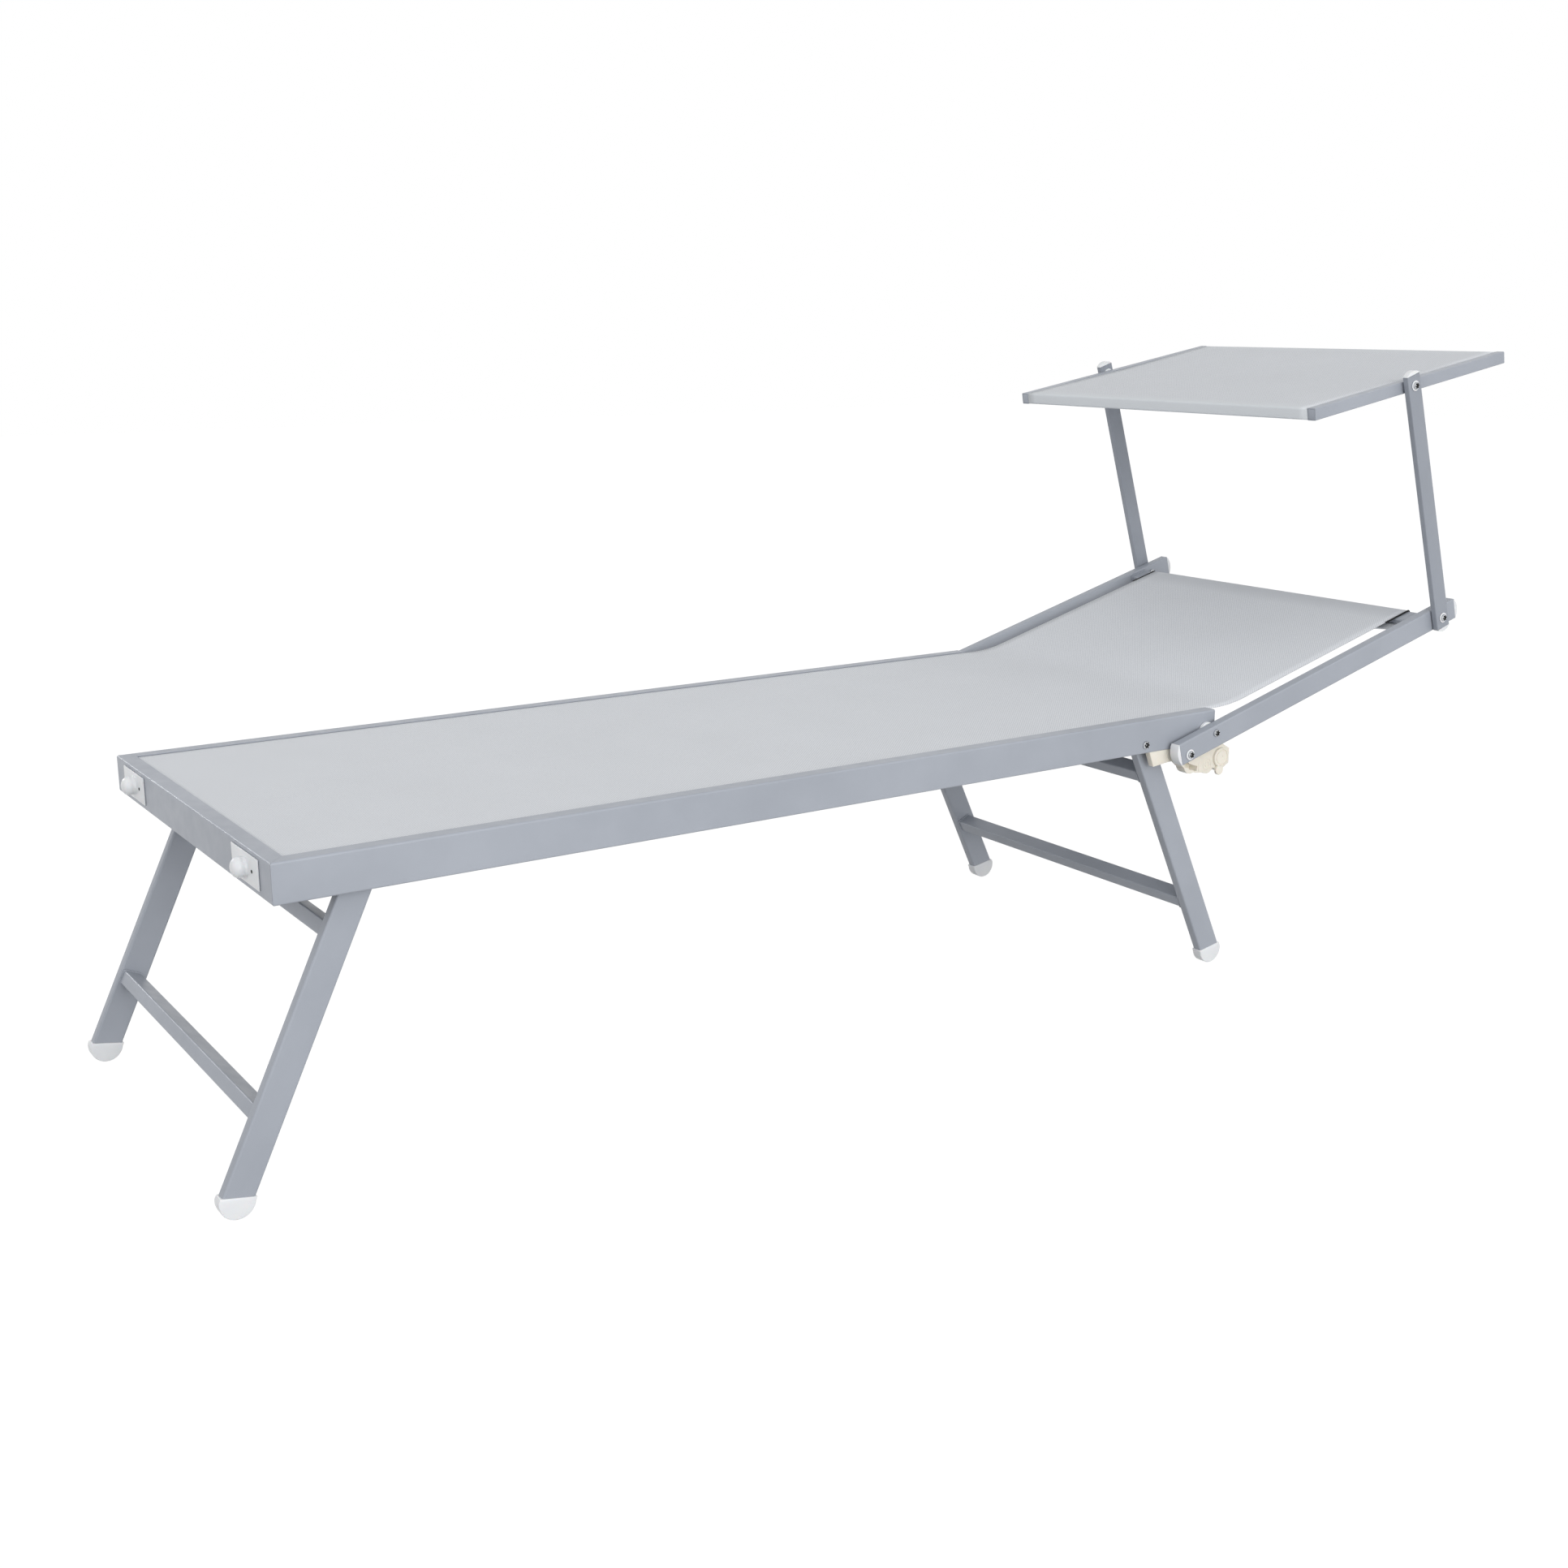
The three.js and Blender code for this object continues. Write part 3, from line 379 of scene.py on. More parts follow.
@dataclass(frozen=True)
class SewingThread:
    """Twisted sewing thread."""

    name: str = "sewing_thread"
    dark: str = "#a9adb2"
    light: str = "#c2c5c9"
    twists: float = 900.0
    depth: float = 0.00008
    strength: float = 0.6
    dulling: Point = (800.0, 1.0)
    roughness: Point = (0.6, 0.8)

    def material(self) -> Material:
        """Makes the thread's material.

        Returns:
            The material.
        """
        board = Board(self.name)
        place = board.where()
        values = {"Vector": place, "Scale": self.twists}
        twist = board.place("ShaderNodeTexWave", values, bands_direction="DIAGONAL")
        board.relief(twist.outputs[1], self.depth, self.strength)
        return board.settle(
            Base_Color=board.between(twist.outputs[1], self.dark, self.light),
            Roughness=board.span(board.noise(place, *self.dulling), *self.roughness),
        )


@dataclass
class Finishes:
    """The lounger's materials, each made once."""

    coat: Material
    post_coat: Material
    sling: Material
    canopy: Material
    binding: Material
    white: Material
    ivory: Material
    recess: Material
    steel: Material
    thread: Material

    @classmethod
    def made(cls) -> "Finishes":
        """Makes every material of the lounger.

        Returns:
            The materials.
        """
        # Black for the cords at the sleeve's side edges: painted shade of the gap under the sleeve's top layer.
        binding = MouldedPlastic(
            "edge_binding", "#0c0c0e", "#151517", grain=900.0, depth=0.0001, roughness=(0.65, 0.75)
        )
        return cls(
            coat=PowderCoat().material(),
            # A darker copy of the powder coat for the posts: painted shade, since the posts are the same coat as
            # the other tubes.
            post_coat=PowderCoat("post_powder_coat", "#90959e", "#989da6").material(),
            sling=WovenMesh("sling_mesh", "#dfe2e6", "#d1d4d9", "#9ea2a9", "#c8cbd0").material(),
            canopy=WovenMesh("canopy_mesh", "#d7dade", "#cdd0d5", "#a2a6ac", "#d2d6da", 0.0009).material(),
            binding=binding.material(),
            white=MouldedPlastic("white_plastic", "#dfe1e4", "#e5e7e9", soft=0.05).material(),
            ivory=MouldedPlastic(
                "ivory_plastic", "#e3ddd0", "#eae5d9", roughness=(0.40, 0.50), soft=0.05
            ).material(),
            # Near-black finish for the floors of sockets and screw holes: painted shade, not a part's own
            # colour.
            recess=MouldedPlastic("bolt_recess", "#050506", "#0b0b0c", roughness=(0.75, 0.85)).material(),
            steel=PlatedSteel().material(),
            thread=SewingThread().material(),
        )


# Mesh work


def turned(profile: Sequence[Point], steps: int = 48) -> Shell:
    """Turns a profile about the x axis.

    Args:
        profile: Points of a radius and an x, from one end to the other.
        steps: The faces round the axis.

    Returns:
        The closed shell.
    """
    shell = bmesh.new()
    verts = [shell.verts.new((x, radius, 0.0)) for radius, x in profile]
    edges = [shell.edges.new(ends) for ends in zip(verts, verts[1:])]
    bmesh.ops.spin(
        shell, geom=verts + edges, cent=(0, 0, 0), axis=(1, 0, 0), dvec=(0, 0, 0),
        angle=2 * math.pi, steps=steps, use_merge=True, use_duplicate=False,
    )
    bmesh.ops.remove_doubles(shell, verts=shell.verts, dist=1e-6)
    bmesh.ops.recalc_face_normals(shell, faces=shell.faces)
    return shell


def block(width: float, depth: float, height: float) -> Shell:
    """Makes a block of that size in x, y and z, centred on the origin."""
    shell = bmesh.new()
    bmesh.ops.create_cube(shell, size=1.0)
    bmesh.ops.scale(shell, vec=(width, depth, height), verts=shell.verts)
    return shell


def soften(shell: Shell, offset: float, segments: int = 3, least: float = 30.0) -> Shell:
    """Rounds the edges that turn by more than an angle.

    Args:
        shell: The shell.
        offset: How far each rounding reaches from its edge.
        segments: The faces across each rounding.
        least: The least turn, in degrees.

    Returns:
        The same shell.
    """
    limit = math.radians(least)
    edges = [e for e in shell.edges if e.is_manifold and e.calc_face_angle(0.0) > limit]
    bmesh.ops.bevel(
        shell, geom=edges, offset=offset, offset_type="OFFSET", segments=segments, profile=0.5,
        affect="EDGES", clamp_overlap=True, material=-1,
    )
    bmesh.ops.dissolve_degenerate(shell, dist=2e-5, edges=shell.edges)
    return shell


def verts_in(made: Sequence[object]) -> List[bmesh.types.BMVert]:
    """Picks the corners out of what an operator made."""
    return [item for item in made if isinstance(item, bmesh.types.BMVert)]


def edges_in(made: Sequence[object]) -> List[bmesh.types.BMEdge]:
    """Picks the edges out of what an operator made."""
    return [item for item in made if isinstance(item, bmesh.types.BMEdge)]


def thicken(shell: Shell, width: float) -> None:
    """Gives a flat outline in y and z a width in x, centred on x = 0.

    Args:
        shell: The outline, one or more flat faces.
        width: The width.
    """
    made = bmesh.ops.extrude_face_region(shell, geom=shell.faces[:])["geom"]
    bmesh.ops.translate(shell, vec=(width, 0, 0), verts=verts_in(made))
    bmesh.ops.translate(shell, vec=(-width / 2, 0, 0), verts=shell.verts)
    bmesh.ops.recalc_face_normals(shell, faces=shell.faces)


def disc(radius: float, steps: int = 96) -> Shell:
    """Makes a disc in y and z, one flat face with that many corners."""
    shell = bmesh.new()
    bmesh.ops.create_circle(shell, cap_ends=True, cap_tris=False, segments=steps, radius=radius)
    return moved(shell, Matrix.Rotation(math.pi / 2, 4, "Y"))


def keep_side(shell: Shell, point: Triple, normal: Triple) -> None:
    """Cuts a shell with the plane through a point and keeps the side that its normal points to."""
    geom = shell.verts[:] + shell.edges[:] + shell.faces[:]
    bmesh.ops.bisect_plane(shell, geom=geom, dist=1e-7, plane_co=point, plane_no=normal, clear_inner=True)


def moved(shell: Shell, matrix: Matrix) -> Shell:
    """Moves a whole shell by a matrix and gives it back."""
    bmesh.ops.transform(shell, matrix=matrix, verts=shell.verts)
    return shell


def shifted(shell: Shell, x: float, y: float, z: float) -> Shell:
    """Moves a whole shell along the axes and gives it back."""
    bmesh.ops.translate(shell, vec=(x, y, z), verts=shell.verts)
    return shell


def gathered(shells: Sequence[Shell]) -> Shell:
    """Puts several shells into one mesh.

    Args:
        shells: The shells, which are freed.

    Returns:
        The mesh that holds them all.
    """
    whole = bmesh.new()
    for shell in shells:
        mesh = bpy.data.meshes.new("part")
        shell.to_mesh(mesh)
        shell.free()
        whole.from_mesh(mesh)
        bpy.data.meshes.remove(mesh)
    return whole


def other_side(shell: Shell) -> Shell:
    """Copies a shell to the lounger's left side.

    Args:
        shell: The right side's shell.

    Returns:
        The mirrored copy, with its faces outwards.
    """
    copy = shell.copy()
    bmesh.ops.scale(copy, vec=(-1, 1, 1), verts=copy.verts)
    bmesh.ops.reverse_faces(copy, faces=copy.faces)
    return copy


@dataclass
class Carrier:
    """What a piece is fixed to: its body, its finish's slot and the solids that it stands for."""

    body: str
    slot: str
    stands_for: Tuple[str, ...] = ()

    def named(self, side: Side) -> "Carrier":
        """Fills the side's word into the names that hold a star."""
        solids = tuple(name.replace("*", side.value) for name in self.stands_for)
        return Carrier(self.body.replace("*", side.value), self.slot, solids)

    def take(self, piece: bpy.types.Object) -> None:
        """Fixes a piece to the body and hides the solids that it stands for."""
        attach(piece, self.body)
        if self.stands_for:
            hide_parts(*self.stands_for)


def joined_copy(node: str) -> Shell:
    """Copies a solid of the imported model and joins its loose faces.

    Args:
        node: The solid's name.

    Returns:
        The closed shell, with one face for each flat side.
    """
    shell = bmesh.new()
    shell.from_mesh(frame["nodes"][node].data)
    bmesh.ops.remove_doubles(shell, verts=shell.verts, dist=2e-5)
    angle = math.radians(1.0)
    bmesh.ops.dissolve_limit(
        shell, angle_limit=angle, verts=shell.verts, edges=shell.edges, use_dissolve_boundaries=False
    )
    return shell


def stand(
    name: str, data: bpy.types.ID, place: Triple = (0, 0, 0), turn: Triple = (0, 0, 0)
) -> bpy.types.Object:
    """Stands a new object in the scene, at its place and turned."""
    thing = bpy.data.objects.new(name, data)
    thing.location, thing.rotation_euler = place, turn
    bpy.context.scene.collection.objects.link(thing)
    return thing


def piece_of(
    name: str, shell: Shell, material: Material, carrier: Optional[Carrier] = None, crease: float = 32.0
) -> bpy.types.Object:
    """Makes a shell a piece of the lounger.

    Args:
        name: The piece's name.
        shell: Its shell, which is freed.
        material: Its finish.
        carrier: What it is fixed to, or None where that comes later.
        crease: The turn above which an edge stays sharp, in degrees.

    Returns:
        The piece.
    """
    mesh = bpy.data.meshes.new(name)
    shell.to_mesh(mesh)
    shell.free()
    mesh.materials.append(material)
    mesh.polygons.foreach_set("use_smooth", [True] * len(mesh.polygons))
    mesh.set_sharp_from_angle(angle=math.radians(crease))
    piece = stand(name, mesh)
    if carrier is not None:
        carrier.take(piece)
    LOG.info("%s: %d faces", name, len(mesh.polygons))
    return piece


def pair_of(name: str, shell: Shell, material: Material, body: str, slot: str, *stands_for: str) -> None:
    """Makes a right shell a piece on each side.

    Args:
        name: The pieces' name without the side.
        shell: The right side's shell, which is freed.
        material: Their finish.
        body: Their body, with a star for the side's word.
        slot: Their finish's slot.
        stands_for: The solids that they stand for, with stars.
    """
    carrier = Carrier(body, slot, stands_for)
    for side, half in ((Side.RIGHT, shell), (Side.LEFT, other_side(shell))):
        piece_of(f"{name}_{side.value}", half, material, carrier.named(side))


# Places


def tilted(y: float, z: float, degrees: float) -> Matrix:
    """Gives the place of a sub-assembly that is turned about an axis across the lounger."""
    return Matrix.Translation((0, y, z)) @ Matrix.Rotation(math.radians(degrees), 4, "X")


@dataclass(frozen=True)
class Places:
    """Where the moving sub-assemblies stand, each about its own bolt."""

    rail_end: float = 0.45596
    rail_foot: float = -0.95904
    rail_inner: float = 0.280
    rail_outer: float = 0.300
    seat_height: float = 0.405494
    pivot_y: float = 0.43676
    pivot_z: float = 0.37669
    backrest_angle: float = 15.2
    tube_outer: float = 0.3225
    tube_inner: float = 0.3065
    tube_middle: float = -0.0055
    post_inner: float = 0.324
    post_outer: float = 0.334
    post_pivot: Point = (0.4992, -0.003)
    post_lean: float = 2.2
    canopy_pivot: float = 0.3763
    canopy_drop: float = 0.002
    canopy_lean: float = -7.4
    front_leg_y: float = -0.85014
    rear_leg_y: float = 0.33416
    leg_pivot_z: float = 0.36969
    leg_lean: float = 25.2

    @property
    def backrest(self) -> Matrix:
        """The backrest, y along its tubes from the pivot."""
        return tilted(self.pivot_y, self.pivot_z, self.backrest_angle)

    @property
    def posts(self) -> Matrix:
        """The canopy's posts, z up from their lower bolt."""
        return self.backrest @ tilted(*self.post_pivot, self.post_lean)

    @property
    def canopy(self) -> Matrix:
        """The canopy, y along its side rails."""
        turn = math.radians(self.canopy_lean)
        y, z = self.canopy_drop * math.sin(turn), self.canopy_pivot - self.canopy_drop * math.cos(turn)
        return self.posts @ tilted(y, z, self.canopy_lean)

    def leg_y(self, fold: Fold) -> float:
        """The place of a leg frame's bolt along the lounger."""
        return self.front_leg_y if fold is Fold.FRONT else self.rear_leg_y

    def legs(self, fold: Fold) -> Matrix:
        """A leg frame, drawn upright below its bolt."""
        return tilted(self.leg_y(fold), self.leg_pivot_z, fold.value * self.leg_lean)


PLACES = Places()


@dataclass
class SubAssembly:
    """A sub-assembly of the lounger, which makes its pieces in the shared finishes."""

    finishes: Finishes

    def build(self) -> None:
        """Makes the pieces."""
        raise NotImplementedError


@dataclass
class TubeFrame(SubAssembly):
    """The tubes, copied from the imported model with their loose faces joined."""

    slot: str = "frame"
    crease: float = 34.0
    plug_size: Triple = (0.0123, 0.006, 0.0153)
    plug_inset: float = 0.0032
    plug_round_off: float = 0.0006
    canopy_rail_x: float = 0.3130
    canopy_rail_ends: Point = (-0.2040, 0.2300)

    def tube(self, name: str, material: Material, body: str) -> None:
        """Makes one tube.

        Args:
            name: The solid that it stands for.
            material: Its coat.
            body: The body that carries it.
        """
        carrier = Carrier(body, self.slot, (name,))
        piece = piece_of(f"{name}_tube", joined_copy(name), material, carrier, self.crease)
        even = piece.modifiers.new("even_faces", "WEIGHTED_NORMAL")
        even.weight = 60
        even.keep_sharp = True

    def plugs(self) -> None:
        """Closes the canopy rails' ends with flush plugs."""
        first, last = self.canopy_rail_ends
        ends = []
        for y in (first + self.plug_inset, last - self.plug_inset):
            plug = soften(block(*self.plug_size), self.plug_round_off, 2)
            ends.append(shifted(plug, self.canopy_rail_x, y, 0))
        whole = moved(gathered(ends), PLACES.canopy)
        pair_of("canopy_rail_plugs", whole, self.finishes.coat, "canopy_frame", self.slot)

    def build(self) -> None:
        """Makes every tube and the canopy rails' plugs."""
        tubes = [row["node"] for row in frame["record"]["subparts"] if row["material_slot"] == self.slot]
        bodies = frame["record"]["behaviour"]["bodies"]
        for name in tubes:
            body = next(word for word, nodes in bodies.items() if name in nodes)
            # The posts take the darker copy of the coat, which paints shade on them.
            coat = self.finishes.post_coat if body == "canopy_posts" else self.finishes.coat
            self.tube(name, coat, body)
        self.plugs()


# Cloth


@dataclass
class ClothLine:
    """The line that a sheet follows in y and z, its corners rounded by the third number of each."""

    corners: Sequence[Triple]
    steps: int = 10
    spacing: float = 0.012

    def points(self) -> List[Vector]:
        """Rounds each corner by its own radius.

        Returns:
            The line's points in order.
        """
        line = [Vector(corner[:2]) for corner in self.corners]
        found = [line[0]]
        for at in range(1, len(line) - 1):
            into = (line[at] - line[at - 1]).normalized()
            out = (line[at + 1] - line[at]).normalized()
            turn = into.angle_signed(out, 0.0)
            radius = self.corners[at][2]
            start = line[at] - into * radius * math.tan(abs(turn) / 2)
            way = -math.copysign(1.0, turn)
            centre = start + Vector((-into.y, into.x)) * radius * way
            for step in range(self.steps + 1):
                spin = Matrix.Rotation(-turn * step / self.steps, 2)
                found.append(centre + spin @ (start - centre))
        found.append(line[-1])
        return found

    def length(self) -> float:
        """The line's whole length."""
        points = self.points()
        return sum((b - a).length for a, b in zip(points, points[1:]))

    def stations(self, spacing: float) -> List[Tuple[float, Vector]]:
        """Spreads stations along the line, with one at each of its points.

        Args:
            spacing: The widest step between two stations.

        Returns:
            The distance along the line and the place of each station.
        """
        points = self.points()
        found, run = [(0.0, points[0])], 0.0
        for first, last in zip(points, points[1:]):
            reach = (last - first).length
            if reach < 1e-7:
                continue
            count = max(1, math.ceil(reach / spacing))
            for step in range(1, count + 1):
                found.append((run + reach * step / count, first.lerp(last, step / count)))
            run += reach
        return found

    def strip(self, low: float, high: float, columns: int = 36) -> Shell:
        """Makes a strip of cloth flat, maps it and then lays it on the line.

        Args:
            low: The strip's lowest x.
            high: The strip's highest x.
            columns: The faces across it.

        Returns:
            The open strip, without thickness.
        """
        stations = self.stations(self.spacing)
        rows = len(stations) - 1
        cloth = bmesh.new()
        bmesh.ops.create_grid(cloth, x_segments=columns, y_segments=rows, size=0.5)
        flat_map = cloth.loops.layers.uv.new("flat")
        for vert in cloth.verts:
            vert.co.x = low + (high - low) * (vert.co.x + 0.5)
            vert.co.z = round((vert.co.y + 0.5) * rows)
        for face in cloth.faces:
            for loop in face.loops:
                row = int(loop.vert.co.z)
                loop[flat_map].uv = (loop.vert.co.x + 1.0, stations[row][0] + 1.0)
        for vert in cloth.verts:
            vert.co.y, vert.co.z = stations[int(vert.co.z)][1]
        return cloth

    def stitches(self, at: float, half_width: float) -> Shell:
        """Sews a double row of stitches across a sheet.

        Args:
            at: The row's distance along the line.
            half_width: Half the row's length.

        Returns:
            The stitches.
        """
        step, pitch, rise, apart, stitch = 0.002, 0.0042, 0.0009, 0.0025, (0.0031, 0.0006, 0.0004)
        stations = self.stations(step)
        near = min(range(1, len(stations)), key=lambda i: abs(stations[i][0] - at))
        before, place = stations[near - 1][1], stations[near][1]
        along = (place - before).normalized()
        turn = Matrix.Rotation(math.atan2(along.y, along.x), 4, "X")
        whole = bmesh.new()
        for row in (-apart, apart):
            spot = place + along * row + Vector((-along.y, along.x)) * rise
            x = -half_width + pitch
            while x < half_width - pitch:
                made = bmesh.ops.create_cube(whole, size=1.0)["verts"]
                bmesh.ops.scale(whole, vec=stitch, verts=made)
                bmesh.ops.transform(whole, matrix=Matrix.Translation((x, spot.x, spot.y)) @ turn, verts=made)
                x += pitch
        return whole

    def cord(self, radius: float) -> Shell:
        """Draws a round cord along the line.

        Args:
            radius: The cord's radius.

        Returns:
            The closed cord, about x = 0.
        """
        points = self.points()
        cord = bmesh.new()
        way = (points[1] - points[0]).normalized()
        turn = Matrix.Rotation(math.atan2(way.y, way.x), 4, "X") @ Matrix.Rotation(-math.pi / 2, 4, "X")
        start = Matrix.Translation((0, points[0].x, points[0].y)) @ turn
        bmesh.ops.create_circle(cord, cap_ends=True, cap_tris=False, segments=12, radius=radius, matrix=start)
        ring = cord.edges[:]
        for at in range(1, len(points)):
            last = points[at] - points[at - 1]
            if last.length < 1e-7:
                continue
            after = points[min(at + 1, len(points) - 1)] - points[at]
            made = bmesh.ops.extrude_edge_only(cord, edges=ring)["geom"]
            verts = verts_in(made)
            bmesh.ops.translate(cord, vec=(0, last.x, last.y), verts=verts)
            bend = way.angle_signed(after, 0.0) if after.length > 1e-7 else 0.0
            place = (0, points[at].x, points[at].y)
            bmesh.ops.rotate(cord, cent=place, matrix=Matrix.Rotation(-bend, 3, "X"), verts=verts)
            way = after.normalized() if after.length > 1e-7 else way
            ring = edges_in(made)
        bmesh.ops.edgeloop_fill(cord, edges=ring)
        bmesh.ops.recalc_face_normals(cord, faces=cord.faces)
        return cord


@dataclass
class Cloth(SubAssembly):
    """What the two sheets share."""

    thickness: float = 0.0012
    crease: float = 60.0
    seam_inset: float = 0.004

    def give_thickness(self, piece: bpy.types.Object) -> None:
        """Gives an open sheet its thickness, half to each side."""
        wall = piece.modifiers.new("thickness", "SOLIDIFY")
        wall.thickness = self.thickness
        wall.offset = 0.0
        wall.use_even_offset = True
        wall.use_rim = True

    def mark(self, cloth: Shell, shows: Callable[[Vector], float]) -> None:
        """Marks how much of a bar behind it shows through a laid sheet.

        Args:
            cloth: The sheet.
            shows: Gives the share at a place, here held between zero and one.
        """
        layer = cloth.verts.layers.float.new("backing")
        for vert in cloth.verts:
            vert[layer] = min(1.0, max(0.0, shows(vert.co)))


@dataclass
class SlingCloth(Cloth):
    """The lying surface: one sheet from the foot rail to the sleeve round the head bar."""

    half_width: float = 0.2797
    groove_reach: float = 0.2846
    level: float = 0.402894
    bend_y: float = 0.50876
    bend_radius: float = 0.2458
    back_line: float = 0.0064
    bar_back: float = 0.4864
    bar_low: float = -0.0052
    bar_front: float = 0.4503
    turn_up: float = 0.432
    turn_up_radius: float = 0.004
    seam: float = 0.407
    seam_drop: float = 0.0014
    seam_at: float = 0.006
    shows_before: float = 0.012
    shows_over: float = 0.030
    fold: float = 0.0026
    bead_radius: float = 0.0023
    bead_inset: float = 0.015
    bead_drop: float = 0.0045
    bead_reach: float = 0.0203
    groove_depth: float = 0.005
    # The black cord of painted shade along each side edge of the sleeve.
    piping_radius: float = 0.0014
    piping_start: float = 0.430
    piping_rise: float = 0.0004
    piping_drop: float = 0.006
    piping_gap: float = 0.0001
    sag: float = 0.0012

    def line(self) -> ClothLine:
        """Finds the sling's line.

        Returns:
            The line from the foot rail's groove over the bend and round the head bar.
        """
        start = PLACES.rail_foot + self.bead_inset
        corners = [(start, self.level, 0.0), (self.bend_y, self.level, self.bend_radius)]
        for y, z, radius in (
            (self.bar_back, self.back_line, self.fold),
            (self.bar_back, self.bar_low, self.fold),
            (self.turn_up, self.bar_low, self.turn_up_radius),
            (self.seam, self.back_line - self.seam_drop, 0.0),
        ):
            place = PLACES.backrest @ Vector((0, y, z))
            corners.append((place.y, place.z, radius))
        return ClothLine(corners)

    def cloth(self) -> Shell:
        """Lays the sheet, with the side strips that run into the rails' grooves.

        Returns:
            The open sheet.
        """
        line = self.line()
        parts = [line.strip(-self.half_width, self.half_width)]
        for side in (-1, 1):
            inner, outer = side * self.half_width, side * self.groove_reach
            edge = line.strip(min(inner, outer), max(inner, outer), 1)
            keep_side(edge, (0, PLACES.rail_end - GAP, 0), (0, -1, 0))
            parts.append(edge)
        cloth = gathered(parts)
        bmesh.ops.remove_doubles(cloth, verts=cloth.verts, dist=1e-5)
        self.ease(cloth)
        self.mark(cloth, self.shows)
        return cloth

    def ease(self, cloth: Shell) -> None:
        """Lets the seat part hang a little between the rails.

        Args:
            cloth: The laid sheet.
        """
        middle = (PLACES.rail_foot + PLACES.rail_end) / 2
        reach = (PLACES.rail_end - PLACES.rail_foot) / 2
        for vert in cloth.verts:
            lengthwise = 1 - min(1.0, abs(vert.co.y - middle) / reach) ** 4
            crosswise = 1 - min(1.0, abs(vert.co.x) / self.half_width) ** 2
            if vert.co.z < self.level + 0.001:
                vert.co.z -= self.sag * lengthwise * crosswise

    def shows(self, place: Vector) -> float:
        """Tells how much of the head bar shows through at a place.

        Args:
            place: The place, in the lounger's frame.

        Returns:
            The share, which may lie past zero or one.
        """
        spot = PLACES.backrest.inverted() @ place
        rise = (spot.y - (self.bar_front - self.shows_before)) / self.shows_over
        return rise if spot.z > 0 else 0.0

    def beads(self) -> Shell:
        """Makes the round beads that hold the sling in the rails' grooves.

        Returns:
            The foot bead and the two side beads.
        """
        height = PLACES.seat_height - self.bead_drop
        length = PLACES.rail_end - PLACES.rail_foot - self.bead_reach
        middle = PLACES.rail_end - length / 2
        radius = self.bead_radius
        profile = [(0.0, -0.5), (radius, -0.5), (radius, 0.5), (0.0, 0.5)]
        foot = turned([(r, x * 2 * self.half_width) for r, x in profile], 16)
        parts = [shifted(foot, 0, PLACES.rail_foot + self.bead_inset, height)]
        for side in (-1, 1):
            rod = turned([(r, x * length) for r, x in profile], 16)
            moved(rod, Matrix.Rotation(math.pi / 2, 4, "Z"))
            parts.append(shifted(rod, side * (PLACES.rail_inner + self.groove_depth), middle, height))
        return gathered(parts)

    def piping(self, side: int) -> Shell:
        """Makes the black cord of painted shade on one side edge of the head bar's sleeve, where the gap under
        the top layer is in shadow.

        Args:
            side: 1 for the right side and -1 for the left.

        Returns:
            The cord, closed.
        """
        top, back = self.back_line + self.piping_rise, self.bar_back - self.piping_rise
        low = self.back_line - self.piping_drop
        corners = [(self.piping_start, top, 0.0), (back, top, self.fold), (back, low, 0.0)]
        x = side * (self.half_width + self.piping_radius + self.piping_gap)
        return moved(shifted(ClothLine(corners).cord(self.piping_radius), x, 0, 0), PLACES.backrest)

    def build(self) -> None:
        """Makes the sling, its beads, the black cords of painted shade at the sleeve's side edges and its seam.
        """
        line = self.line()
        cloth = piece_of("sling_cloth", self.cloth(), self.finishes.sling, crease=self.crease)
        self.give_thickness(cloth)
        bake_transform(cloth)
        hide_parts("sling_seat", "sling_back")
        beads = piece_of("sling_beads", self.beads(), self.finishes.sling, Carrier("bed_frame", "sling"))
        on_back = Carrier("backrest", "sling")
        # Black cords along the sleeve's side edges paint the shadow in the gap under the top layer.
        bound = [
            piece_of(f"sleeve_piping_{word}", self.piping(side), self.finishes.binding, on_back)
            for word, side in (("right", 1), ("left", -1))
        ]
        row = line.stitches(line.length() - self.seam_at, self.half_width - self.seam_inset)
        seam = piece_of("sleeve_seam", row, self.finishes.thread, on_back)
        line.length()


